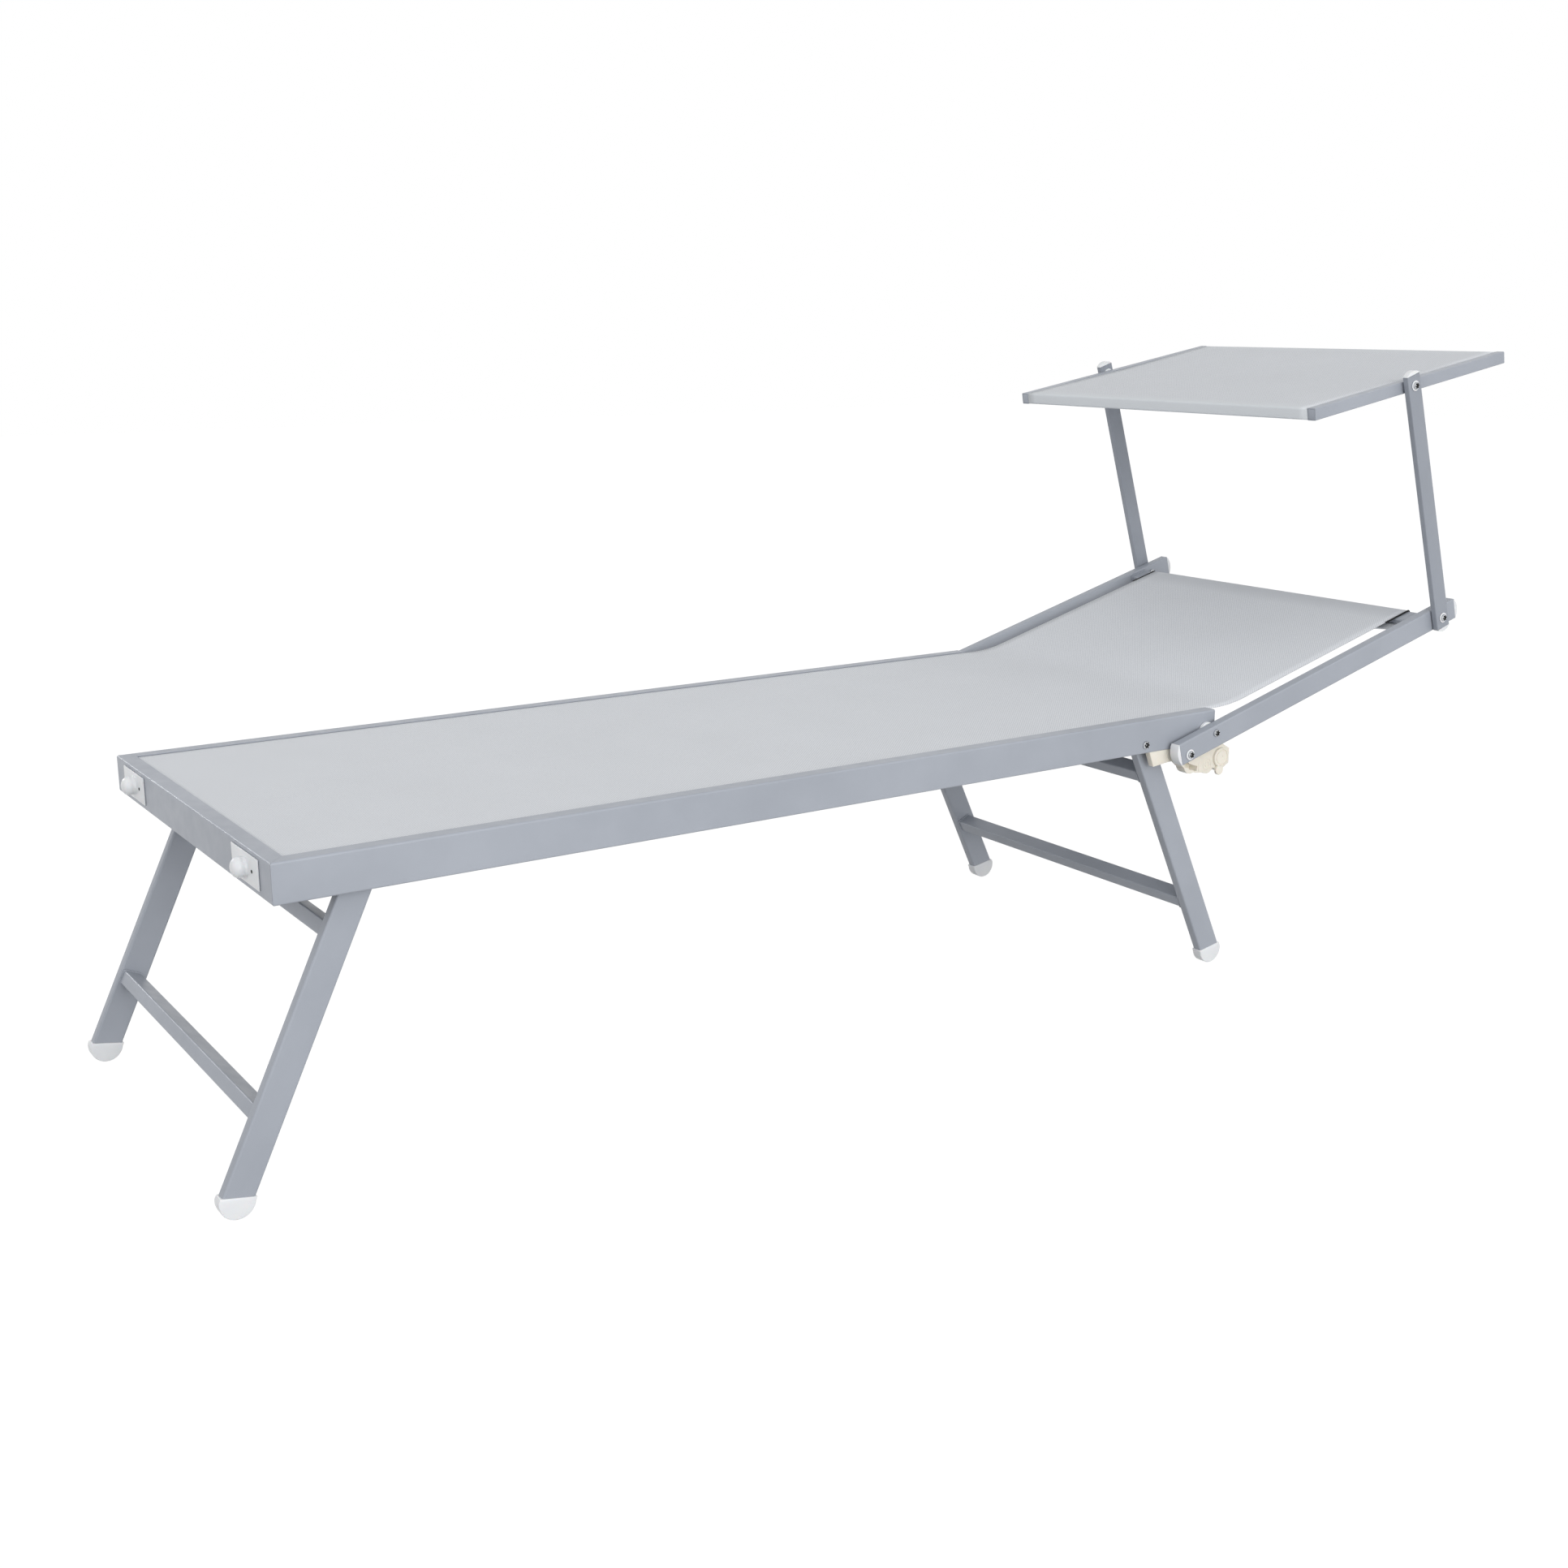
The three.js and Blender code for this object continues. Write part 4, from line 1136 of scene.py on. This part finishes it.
@dataclass
class CanopyCloth(Cloth):
    """The shade cloth: one sheet over the front and back bars with a hem below each."""

    half_width: float = 0.3052
    front: float = -0.2034
    back: float = 0.2294
    rise: float = 0.0084
    hem: float = 0.0214
    fold: float = 0.0026
    bar_depth: float = 0.020
    sag: float = 0.0035
    edge_sag_share: float = 0.45
    seam_at: float = 0.0035
    shows_at: float = 0.006
    shows_over: float = 0.022

    def line(self) -> ClothLine:
        """Finds the line from the front hem over the top to the back hem, in the canopy's own frame."""
        corners = [(self.front + self.hem, -self.rise, 0.0)]
        corners += [(self.front, z, self.fold) for z in (-self.rise, self.rise)]
        corners += [(self.back, z, self.fold) for z in (self.rise, -self.rise)]
        return ClothLine(corners + [(self.back - self.hem, -self.rise, 0.0)])

    def ease(self, cloth: Shell) -> None:
        """Lets the cloth's top hang a little between its bars.

        Args:
            cloth: The laid sheet, in the canopy's own frame.
        """
        start, end = self.front + self.bar_depth, self.back - self.bar_depth
        for vert in cloth.verts:
            share = (vert.co.y - start) / (end - start)
            if 0 < share < 1 and vert.co.z > 0:
                across = 1 - (abs(vert.co.x) / self.half_width) ** 2
                crosswise = self.edge_sag_share + (1 - self.edge_sag_share) * across
                vert.co.z -= self.sag * math.sin(math.pi * share) ** 1.5 * crosswise

    def shows(self, place: Vector) -> float:
        """Tells how much of the two bars shows through at a place in the canopy's own frame."""
        near = min(place.y - self.front, self.back - place.y)
        return 1.0 - (near - self.shows_at) / self.shows_over

    def build(self) -> None:
        """Makes the cloth and the seams of its hems."""
        line = self.line()
        cloth = line.strip(-self.half_width, self.half_width)
        self.ease(cloth)
        self.mark(cloth, self.shows)
        moved(cloth, PLACES.canopy)
        carrier = Carrier("canopy_frame", "canopy_cloth", ("canopy_fabric",))
        shade = piece_of("canopy_cloth", cloth, self.finishes.canopy, carrier, self.crease)
        self.give_thickness(shade)
        for word, at in (("front", self.seam_at), ("back", line.length() - self.seam_at)):
            row = moved(line.stitches(at, self.half_width - self.seam_inset), PLACES.canopy)
            carrier = Carrier("canopy_frame", "canopy_cloth")
            piece_of(f"canopy_seam_{word}", row, self.finishes.thread, carrier)
        line.length()


# Moulded parts


@dataclass
class Bumper(SubAssembly):
    """A white plate on the foot rail with the round knob that the stored lounger stands on.

    A screw's numbers are its head's radius and height and its socket's radius and depth.
    """

    width: float = 0.088
    height: float = 0.0355
    thickness: float = 0.0015
    knob_radius: float = 0.0118
    neck: float = 0.0075
    dome: float = 0.0085
    spread: float = 0.218
    centre_z: float = 0.381994
    screw_spread: float = 0.024
    screw: Tuple[float, ...] = (0.0021, 0.0006, 0.0012, 0.0005)
    round_off: float = 0.0005

    def knob(self) -> Shell:
        """Turns the knob, with a slight flare at its foot.

        Returns:
            The closed knob on the x axis, its foot at x = 0.
        """
        radius, neck, steps = self.knob_radius, self.neck, 10
        profile = [
            (0.0, -0.0004),
            (radius, -0.0004),
            (radius, 0.0006),
            (radius * 0.955, 0.0016),
            (radius * 0.95, neck * 0.55),
            (radius, neck * 0.7),
            (radius, neck),
        ]
        for step in range(1, steps):
            angle = math.pi / 2 * step / steps
            profile.append((radius * math.cos(angle), neck + self.dome * math.sin(angle)))
        return turned(profile + [(0.0, neck + self.dome)])

    def build(self) -> None:
        """Makes both plates with their knobs and screws."""
        face = PLACES.rail_foot - GAP
        to_foot = Matrix.Rotation(-math.pi / 2, 4, "Z")
        plate = soften(block(self.width, self.thickness, self.height), self.round_off)
        shifted(plate, 0, face - self.thickness / 2, 0)
        knob = shifted(moved(self.knob(), to_foot), 0, face - self.thickness, 0)
        whole = shifted(gathered([plate, knob]), self.spread, 0, self.centre_z)
        pair_of("bumper_plate", whole, self.finishes.white, "bed_frame", "white_plastic", "bumper_*")
        screws = []
        for side in (-1, 1):
            head = moved(socket_head(*self.screw), to_foot)
            screws.append(shifted(head, side * self.screw_spread, face - self.thickness, 0))
        rows = shifted(gathered(screws), self.spread, 0, self.centre_z)
        # The steel screws are drawn in the near-black finish: painted shade of their holes in the plate.
        pair_of("bumper_screws", rows, self.finishes.recess, "bed_frame", "steel")


@dataclass
class FootCap(SubAssembly):
    """The half-round white shoe on the sawn end of a leg."""

    fold: Fold
    leg_width: float = 0.0365
    leg_thickness: float = 0.015
    leg_wall: float = 0.0015
    leg_x: float = 0.2707
    overhang: float = 0.002
    rim: float = 0.001
    band: float = 0.005
    cut: float = 15.3
    lift: float = 0.000006
    round_off: float = 0.0012
    stem_height: float = 0.022
    stem_rise: float = 0.004

    @property
    def radius(self) -> float:
        """The half round's radius."""
        return self.leg_width / (2 * math.cos(math.radians(self.cut))) + self.overhang

    def outline(self) -> Shell:
        """Draws the half round and the band above it.

        Returns:
            The outline in y and z, its sawn edge through the origin.
        """
        tilt = -self.fold.value * math.radians(self.cut)
        shape = disc(self.radius)
        keep_side(shape, (0, 0, 0), (0, 0, -1))
        moved(shape, Matrix.Rotation(tilt, 4, "X"))
        shifted(shape, 0, 0, -self.band)
        level = Vector((0, -math.sin(tilt), math.cos(tilt)))
        base = Vector((0, 0, -self.band))
        top = [e for e in shape.edges if all(abs((v.co - base).dot(level)) < 1e-5 for v in e.verts)]
        made = bmesh.ops.extrude_edge_only(shape, edges=top)["geom"]
        bmesh.ops.translate(shape, vec=(0, 0, self.band), verts=verts_in(made))
        bmesh.ops.dissolve_faces(shape, faces=shape.faces[:])
        return shape

    def build(self) -> None:
        """Makes the frame's two shoes."""
        word = self.fold.name.lower()
        reach = (PLACES.leg_pivot_z + self.lift - self.radius) / math.cos(math.radians(PLACES.leg_lean))
        reach -= self.band + GAP
        shoe = self.outline()
        thicken(shoe, self.leg_thickness + 2 * self.rim)
        soften(shoe, self.round_off, 3, 40.0)
        shifted(shoe, self.leg_x, 0, -reach - GAP)
        play = 2 * (self.leg_wall + GAP)
        stem = block(self.leg_thickness - play, self.leg_width - play, self.stem_height)
        shifted(stem, self.leg_x, 0, -reach + self.stem_rise)
        whole = moved(gathered([shoe, stem]), PLACES.legs(self.fold))
        body, solids = f"{word}_leg_frame", f"{word}_foot_cap_*"
        pair_of(f"{word}_foot_shoe", whole, self.finishes.white, body, "white_plastic", solids)


@dataclass
class DomedCap:
    """A white cap with a domed face on the end of a tube."""

    name: str
    node: str
    body: str
    x: float
    width: float
    height: float
    wall: float
    place: Matrix
    dome: float = 0.006
    round_off: float = 0.0011
    stem_depth: float = 0.010
    stem_shift: float = -0.004

    def build(self, finishes: Finishes) -> None:
        """Makes the cap on both sides.

        Args:
            finishes: The lounger's materials.
        """
        half = self.height / 2
        radius = (half * half + self.dome * self.dome) / (2 * self.dome)
        cap = shifted(disc(radius, 144), 0, self.dome - radius + GAP, 0)
        keep_side(cap, (0, GAP, 0), (0, 1, 0))
        bmesh.ops.remove_doubles(cap, verts=cap.verts, dist=0.0005)
        thicken(cap, self.width)
        soften(cap, self.round_off, 3, 25.0)
        play = 2 * (self.wall + GAP)
        stem = block(self.width - play, self.stem_depth, self.height - play)
        shifted(stem, 0, self.stem_shift, 0)
        whole = shifted(moved(gathered([cap, stem]), self.place), self.x, 0, 0)
        pair_of(self.name, whole, finishes.white, self.body, "white_plastic", self.node)


@dataclass
class Caps(SubAssembly):
    """The caps of the backrest's tubes and of the canopy's posts, whose sizes are width, height and wall."""

    tube_size: Triple = (0.016, 0.033, 0.0015)
    post_size: Triple = (0.010, 0.028, 0.0012)
    head_end: float = 0.543
    tail_end: float = -0.073
    post_top: float = 0.3923
    post_low: float = -0.016

    def build(self) -> None:
        """Makes the caps."""
        tube = ((PLACES.tube_inner + PLACES.tube_outer) / 2, *self.tube_size)
        post = ((PLACES.post_inner + PLACES.post_outer) / 2, *self.post_size)
        for name, body, turn, y, z, size in (
            ("backrest_head", "backrest", 0, self.head_end, PLACES.tube_middle, tube),
            ("backrest_tail", "backrest", 180, self.tail_end, PLACES.tube_middle, tube),
            ("post_top", "canopy_posts", 90, 0, self.post_top, post),
            ("post_low", "canopy_posts", -90, 0, self.post_low, post),
        ):
            carrier = PLACES.backrest if body == "backrest" else PLACES.posts
            place = carrier @ tilted(y, z, turn)
            DomedCap(f"{name}_dome", f"{name}_cap_*", body, *size, place).build(self.finishes)


@dataclass
class ReclinerHousing(SubAssembly):
    """The ivory housing that hangs from each side rail and holds the backrest's steps."""

    node: str = "recliner_housing_*"
    round_off: float = 0.0007
    face: float = 0.2982
    rise: float = 0.0005
    rib_size: float = 0.0014
    rib_round_off: float = 0.0003
    ring_round_off: float = 0.0002
    rings: Tuple[Tuple[float, float, float, float], ...] = (
        (0.0090, 0.0012, 0.3717, 0.3470),
        (0.0085, 0.0012, 0.4474, 0.3238),
        (0.0042, 0.0010, 0.4474, 0.3238),
    )
    rib_lines: Tuple[Triple, ...] = (
        (0.3655, 0.3392, 0.3560),
        (0.3770, 0.3392, 0.3560),
        (0.4302, 0.3150, 0.3300),
    )

    def ribs(self) -> List[Shell]:
        """Makes the raised rims and ribs on the housing's outer face.

        Returns:
            The boss's and the rear lobe's rims and the ribs beside them.
        """
        parts = []
        for radius, wall, y, z in self.rings:
            low, high = self.face - self.rise, self.face + self.rise
            ring = Ring(radius - wall, radius, low, high, self.ring_round_off)
            parts.append(shifted(ring.shell(), 0, y, z))
        for y, low, high in self.rib_lines:
            rib = soften(block(self.rib_size, self.rib_size, high - low), self.rib_round_off, 2)
            parts.append(shifted(rib, self.face, y, (low + high) / 2))
        return parts

    def build(self) -> None:
        """Makes both housings."""
        shell = soften(joined_copy(self.node.replace("*", "right")), self.round_off, 2, 40.0)
        whole = gathered([shell, *self.ribs()])
        pair_of("recliner_shell", whole, self.finishes.ivory, "bed_frame", "ivory_plastic", self.node)


@dataclass
class ReclinerCatch(SubAssembly):
    """The round ivory catch with a thumb nub on each housing."""

    y: float = 0.47336
    z: float = 0.331594
    face: float = 0.2985
    radius: float = 0.0145
    thickness: float = 0.004
    pin_radius: float = 0.004
    pin_depth: float = 0.017
    foot_radius: float = 0.007
    foot_height: float = 0.002
    foot_round_off: float = 0.0004
    rim: Tuple[Point, ...] = ((0.0, 0.0008), (0.0006, 0.0002), (0.0012, 0.0))
    dip: float = 0.0002
    groove: float = 0.0012
    groove_shares: Tuple[float, ...] = (0.82, 0.79, 0.72, 0.68)
    dimple: float = 0.0006
    dimple_shares: Point = (0.20, 0.17)
    nub_radius: float = 0.0075
    nub_reach: float = 0.019
    nub_turn: float = 9.0
    nub_round_off: float = 0.0007
    neck_width: float = 0.008
    neck_sink: float = 0.0007
    neck_round_off: float = 0.0005
    neck_start_share: float = 0.86

    def knob(self) -> Shell:
        """Turns the disc with its pin and the pin's foot inside the housing.

        Returns:
            The closed knob on the x axis.
        """
        r, face, top = self.radius, self.face, self.face + self.thickness
        foot, end, soft = self.foot_radius, self.face - self.pin_depth, self.foot_round_off
        outer, floor_outer, floor_inner, inner = (r * share for share in self.groove_shares)
        dimple_outer, dimple_inner = (r * share for share in self.dimple_shares)
        return turned(
            [
                (0.0, end - self.foot_height),
                (foot - soft, end - self.foot_height),
                (foot, end - self.foot_height + soft),
                (foot, end),
                (self.pin_radius, end),
                (self.pin_radius, face),
                (r, face),
                *((r - inset, top - drop) for inset, drop in self.rim),
                (outer, top),
                (floor_outer, top - self.groove),
                (floor_inner, top - self.groove),
                (inner, top - self.dip),
                (dimple_outer, top - self.dip),
                (dimple_inner, top - self.dimple),
                (0.0, top - self.dimple),
            ],
            64,
        )

    def nub(self) -> Shell:
        """Turns the nub and joins it to the disc with a neck.

        Returns:
            Both shells, below the x axis.
        """
        top, reach = self.face + self.thickness, self.nub_reach
        r, soft = self.nub_radius, self.nub_round_off
        nub = turned([(0.0, self.face), (r, self.face), (r, top - soft), (r - soft, top), (0.0, top)], 40)
        neck_reach = reach - self.radius * self.neck_start_share
        neck = block(self.thickness - 2 * self.neck_sink, self.neck_width, neck_reach)
        soften(neck, self.neck_round_off, 2)
        shifted(nub, 0, 0, -reach)
        shifted(neck, self.face + self.thickness / 2 - GAP, 0, neck_reach / 2 - reach)
        return gathered([nub, neck])

    def build(self) -> None:
        """Makes both catches."""
        whole = moved(gathered([self.knob(), self.nub()]), tilted(self.y, self.z, -self.nub_turn))
        solids = "recliner_catch_*"
        pair_of("thumb_catch", whole, self.finishes.ivory, "catch_*", "ivory_plastic", solids)


# Bolts and washers


@dataclass(frozen=True)
class Ring:
    """A washer on the x axis, from its hole's radius to its own and from its lower to its upper x."""

    inner: float
    outer: float
    low: float
    high: float
    round_off: float

    def shell(self) -> Shell:
        """Turns the washer, with rounded outer edges.

        Returns:
            The closed ring.
        """
        outer, low, high, soft = self.outer, self.low, self.high, self.round_off
        rim = [(outer - soft, low), (outer, low + soft), (outer, high - soft), (outer - soft, high)]
        return turned([(self.inner, low), *rim, (self.inner, high), (self.inner, low)], 56)


def next_ring(
    shell: Shell, edges: List[bmesh.types.BMEdge], scale: float, step: float
) -> List[bmesh.types.BMEdge]:
    """Extrudes a ring of edges that stands round the x axis.

    Args:
        shell: The shell.
        edges: The ring.
        scale: The new ring's size as a share of the last.
        step: How far it moves along x.

    Returns:
        The new ring.
    """
    made = bmesh.ops.extrude_edge_only(shell, edges=edges)["geom"]
    bmesh.ops.scale(shell, vec=(1, scale, scale), verts=verts_in(made))
    bmesh.ops.translate(shell, vec=(step, 0, 0), verts=verts_in(made))
    return edges_in(made)


def socket_head(radius: float, height: float, socket: float, depth: float) -> Shell:
    """Makes a low button head with a six-pointed socket, its seat at x = 0.

    Args:
        radius: The head's radius.
        height: The head's height.
        socket: The socket's radius.
        depth: The socket's depth.

    Returns:
        The closed head.
    """
    shell = disc(radius, 36)
    ring = shell.edges[:]
    for scale, rise in ((1.0, 0.3), (0.93, 0.35), (0.93, 0.2), (0.95, 0.08)):
        ring = next_ring(shell, ring, scale, height * rise)
    ring = next_ring(shell, ring, socket / (radius * 0.93 * 0.86), 0.0)
    for vert in {v for e in ring for v in e.verts}:
        angle = math.atan2(vert.co.z, vert.co.y)
        pinch = 1.0 if math.cos(6 * angle) > 0.2 else 0.74
        vert.co.y, vert.co.z = vert.co.y * pinch, vert.co.z * pinch
    ring = next_ring(shell, ring, 0.96, -depth)
    bmesh.ops.edgeloop_fill(shell, edges=ring)
    bmesh.ops.recalc_face_normals(shell, faces=shell.faces)
    return shell


@dataclass(frozen=True)
class BoltKind:
    """The sizes of a bolt. A nut is its radius over the corners and its thickness."""

    head_radius: float
    head_height: float
    shaft_radius: float
    nut: Optional[Point] = None
    ring: bool = False
    inwards: bool = False


@dataclass
class Bolt:
    """A bolt across the lounger with a button head at its seat and, on some, a nut at its end."""

    name: str
    node: str
    body: str
    kind: BoltKind
    place: Matrix
    seat: float
    end: float
    ring_radius: float = 0.0078
    ring_height: float = 0.001
    ring_round_off: float = 0.0003

    def shank(self) -> List[Shell]:
        """Makes the shaft and the nut.

        Returns:
            The shells, on the x axis.
        """
        r, low, high = self.kind.shaft_radius, min(self.end, self.seat), max(self.end, self.seat) + 0.0001
        parts = [turned([(0.0, low), (r * 0.8, low), (r, low + r * 0.2), (r, high), (0.0, high)], 24)]
        if self.kind.nut is not None:
            radius, thickness = self.kind.nut
            nut = disc(radius, 6)
            thicken(nut, thickness)
            soften(nut, radius * 0.06, 2, 50.0)
            inset = -thickness / 2 if self.kind.inwards else thickness / 2
            parts.append(shifted(nut, self.end + inset, 0, 0))
        return parts

    def build(self, finishes: Finishes) -> None:
        """Makes the bolt, the black disc of painted shade in its socket and its ring on both sides.

        Args:
            finishes: The lounger's materials.
        """
        kind = self.kind
        seat = self.seat + (self.ring_height if kind.ring else 0.0)
        socket = kind.head_radius * 0.80
        head = socket_head(kind.head_radius, kind.head_height, socket, kind.head_height * 0.55)
        if kind.inwards:
            moved(head, Matrix.Rotation(math.pi, 4, "Z"))
        whole = moved(gathered([*self.shank(), shifted(head, seat, 0, 0)]), self.place)
        pair_of(self.name, whole, finishes.steel, self.body, "steel", self.node)
        # A near-black disc on the socket's floor: painted shade in the socket, whose steel is the same as the
        # head's.
        pin, edge = socket * 0.24, socket * 0.97
        floor = turned([(pin, 0.0), (edge, 0.0), (edge, 0.0001), (pin, 0.0001), (pin, 0.0)], 36)
        level = kind.head_height * 0.46
        shifted(floor, seat - level if kind.inwards else seat + level, 0, 0)
        pair_of(f"{self.name}_recess", moved(floor, self.place), finishes.recess, self.body, "steel")
        if kind.ring:
            ring = Ring(kind.head_radius * 0.8, self.ring_radius, self.seat, seat, self.ring_round_off)
            washer = moved(ring.shell(), self.place)
            pair_of(f"{self.name}_ring", washer, finishes.white, self.body, "white_plastic")


@dataclass
class Hardware(SubAssembly):
    """Every bolt, screw, spacer and washer of the lounger."""

    step_pin: Point = (-0.0562, -0.0112)
    screw_y: float = 0.31836
    spacer: Ring = Ring(0.0043, 0.013, 0.3003, 0.3062, 0.0008)
    upper_washer: Ring = Ring(0.0038, 0.0095, 0.3208, 0.3237, 0.0005)
    lower_washer: Ring = Ring(0.0038, 0.0095, 0.3227, 0.3238, 0.0003)

    def bolts(self) -> List[Bolt]:
        """Lists the bolts.

        Returns:
            The bolts, each with its place.
        """
        back, posts = PLACES.backrest, PLACES.posts
        tube, post = PLACES.tube_outer + GAP, PLACES.post_outer + GAP
        post_kind = BoltKind(0.0056, 0.003, 0.0035, (0.0055, 0.0035), ring=True)
        pin_kind = BoltKind(0.0056, 0.003, 0.0030, ring=True)
        pivot_kind = BoltKind(0.0056, 0.003, 0.0040, (0.0065, 0.004))
        screw_kind = BoltKind(0.006, 0.0026, 0.0025)
        fold_kind = BoltKind(0.007, 0.0035, 0.0040, (0.006, 0.003), inwards=True)
        on_post = posts @ Matrix.Translation((0, 0, PLACES.canopy_pivot))
        on_rail = Matrix.Translation((0, self.screw_y, PLACES.leg_pivot_z))
        rail = PLACES.rail_outer + GAP
        found = [
            Bolt("post_bolt", "post_pivot_bolt_*", "backrest", post_kind,
                 back @ Matrix.Translation((0, *PLACES.post_pivot)), seat=post, end=0.3027),
            Bolt("canopy_bolt", "canopy_pivot_bolt_*", "canopy_posts", post_kind,
                 on_post, seat=post, end=0.3017),
            Bolt("step_pin", "stop_pin_*", "backrest", pin_kind,
                 back @ Matrix.Translation((0, *self.step_pin)), seat=tube, end=0.2870),
            Bolt("pivot_bolt", "backrest_pivot_bolt_*", "bed_frame", pivot_kind, back, seat=tube, end=0.2757),
            Bolt("rail_screw", "housing_screw_*", "bed_frame", screw_kind, on_rail, seat=rail, end=0.2903),
        ]
        for fold in Fold:
            word = fold.name.lower()
            place = Matrix.Translation((0, PLACES.leg_y(fold), PLACES.leg_pivot_z))
            name, node = f"{word}_fold_bolt", f"{word}_leg_bolt_*"
            found.append(Bolt(name, node, "bed_frame", fold_kind, place, seat=0.2629, end=0.2848))
        return found

    def build(self) -> None:
        """Makes the bolts, the spacers and the washers."""
        for bolt in self.bolts():
            bolt.build(self.finishes)
        white, slot = self.finishes.white, "white_plastic"
        spacer = shifted(self.spacer.shell(), 0, PLACES.pivot_y, PLACES.pivot_z)
        pair_of("pivot_ring", spacer, white, "bed_frame", slot, "pivot_spacer_*")
        for name, ring, height, solids in (
            ("upper_friction_ring", self.upper_washer, PLACES.canopy_pivot, ("friction_washer_*",)),
            ("lower_friction_ring", self.lower_washer, 0.0, ()),
        ):
            washer = moved(shifted(ring.shell(), 0, 0, height), PLACES.posts)
            pair_of(name, washer, white, "canopy_posts", slot, *solids)


# Studio


@dataclass(frozen=True)
class Lamp:
    """A soft square lamp that faces the lounger."""

    name: str
    place: Triple
    size: float
    power: float
    aim: Triple = (0.0, 0.0, 0.4)

    def hang(self) -> None:
        """Hangs the lamp."""
        data = bpy.data.lights.new(self.name, "AREA")
        data.size, data.energy = self.size, self.power
        way = Vector(self.aim) - Vector(self.place)
        stand(self.name, data, self.place, way.to_track_quat("-Z", "Y").to_euler())


@dataclass
class Studio:
    """A pale floor, soft light and the camera at the photograph's angle."""

    camera_place: Triple = (2.17276, -1.56262, 0.96905)
    yaw: float = 56.12
    pitch: float = -14.16
    lens: float = 42.87
    sensor: float = 36.0
    sky_way: Triple = (0.84, -0.50, 0.20)
    sky_behind: float = 0.27
    sky_before: float = 1.07
    floor_half: float = 14.0
    floor_drop: float = 0.0005
    floor_grey: float = 0.44
    floor_white: float = 0.80
    floor_glow: float = 1.21
    lamps: Tuple[Lamp, ...] = (
        Lamp("side_lamp", (4.2, -0.4, 1.2), 3.0, 90.0),
        Lamp("foot_lamp", (0.6, -4.4, 2.2), 2.5, 13.0),
        Lamp("rim_lamp", (-4.2, -2.2, 1.6), 0.7, 26.0),
    )

    def camera(self) -> None:
        """Sets up the camera."""
        data = bpy.data.cameras.new("camera")
        data.lens, data.sensor_width = self.lens, self.sensor
        data.clip_start, data.clip_end = 0.01, 100.0
        turn = (math.radians(90 + self.pitch), 0.0, math.radians(self.yaw))
        bpy.context.scene.camera = stand("camera", data, self.camera_place, turn)

    def world(self) -> None:
        """Makes the sky, white where it is seen and brighter before the lounger where it lights."""
        world = bpy.data.worlds.new("sky")
        world.use_nodes = True
        tree = Tree(world.node_tree)
        ways = {0: tree.where("Generated"), 1: self.sky_way}
        facing = tree.place("ShaderNodeVectorMath", ways, operation="DOT_PRODUCT").outputs["Value"]
        light = tree.span(facing, self.sky_behind, self.sky_before, -1.0, 1.0)
        back = tree.nodes["Background"].inputs
        tree.plug(back["Color"], (1.0, 1.0, 1.0, 1.0))
        tree.plug(back["Strength"], tree.mixed(tree.seen(), light, 1.0))
        bpy.context.scene.world = world

    def floor(self) -> None:
        """Lays the floor, which stays near white but keeps a faint shadow."""
        shell = bmesh.new()
        bmesh.ops.create_grid(shell, x_segments=1, y_segments=1, size=self.floor_half)
        board, grey = Board("studio_floor"), self.floor_grey
        glow = board.place("ShaderNodeEmission", {"Strength": self.floor_glow}).outputs[0]
        plain = board.place("ShaderNodeBsdfDiffuse", {"Color": (grey, grey, grey, 1.0)}).outputs[0]
        share = board.sums("MULTIPLY", board.seen(), self.floor_white)
        mix = board.place("ShaderNodeMixShader", {0: share, 1: plain, 2: glow}).outputs[0]
        board.plug(board.nodes["Material Output"].inputs["Surface"], mix)
        floor = piece_of("floor", shell, board.material)
        floor.location.z = -self.floor_drop
        floor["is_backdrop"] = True

    def build(self) -> None:
        """Sets up camera, sky, floor and lamps."""
        bpy.context.scene.view_settings.view_transform = "Standard"
        self.camera()
        self.world()
        self.floor()
        for lamp in self.lamps:
            lamp.hang()


def keep_sizes() -> Dict[str, List[List[float]]]:
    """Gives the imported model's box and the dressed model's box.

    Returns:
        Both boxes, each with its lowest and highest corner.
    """
    boxes = {"cad": [list(corner) for corner in CAD_BOX], "visual": [list(corner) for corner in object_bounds()]}
    return boxes


def main() -> None:
    """Dresses the lounger and sets up its studio."""
    logging.basicConfig(level=logging.INFO, format="%(name)s: %(message)s")
    finishes = Finishes.made()
    shoes = [FootCap(finishes, fold) for fold in Fold]
    for part in (
        TubeFrame(finishes),
        SlingCloth(finishes),
        CanopyCloth(finishes),
        Bumper(finishes),
        *shoes,
        Caps(finishes),
        ReclinerHousing(finishes),
        ReclinerCatch(finishes),
        Hardware(finishes),
    ):
        LOG.info("%s", type(part).__name__)
        part.build()
    Studio().build()
    LOG.info("boxes: %s", keep_sizes())


if __name__ == "__main__":
    main()
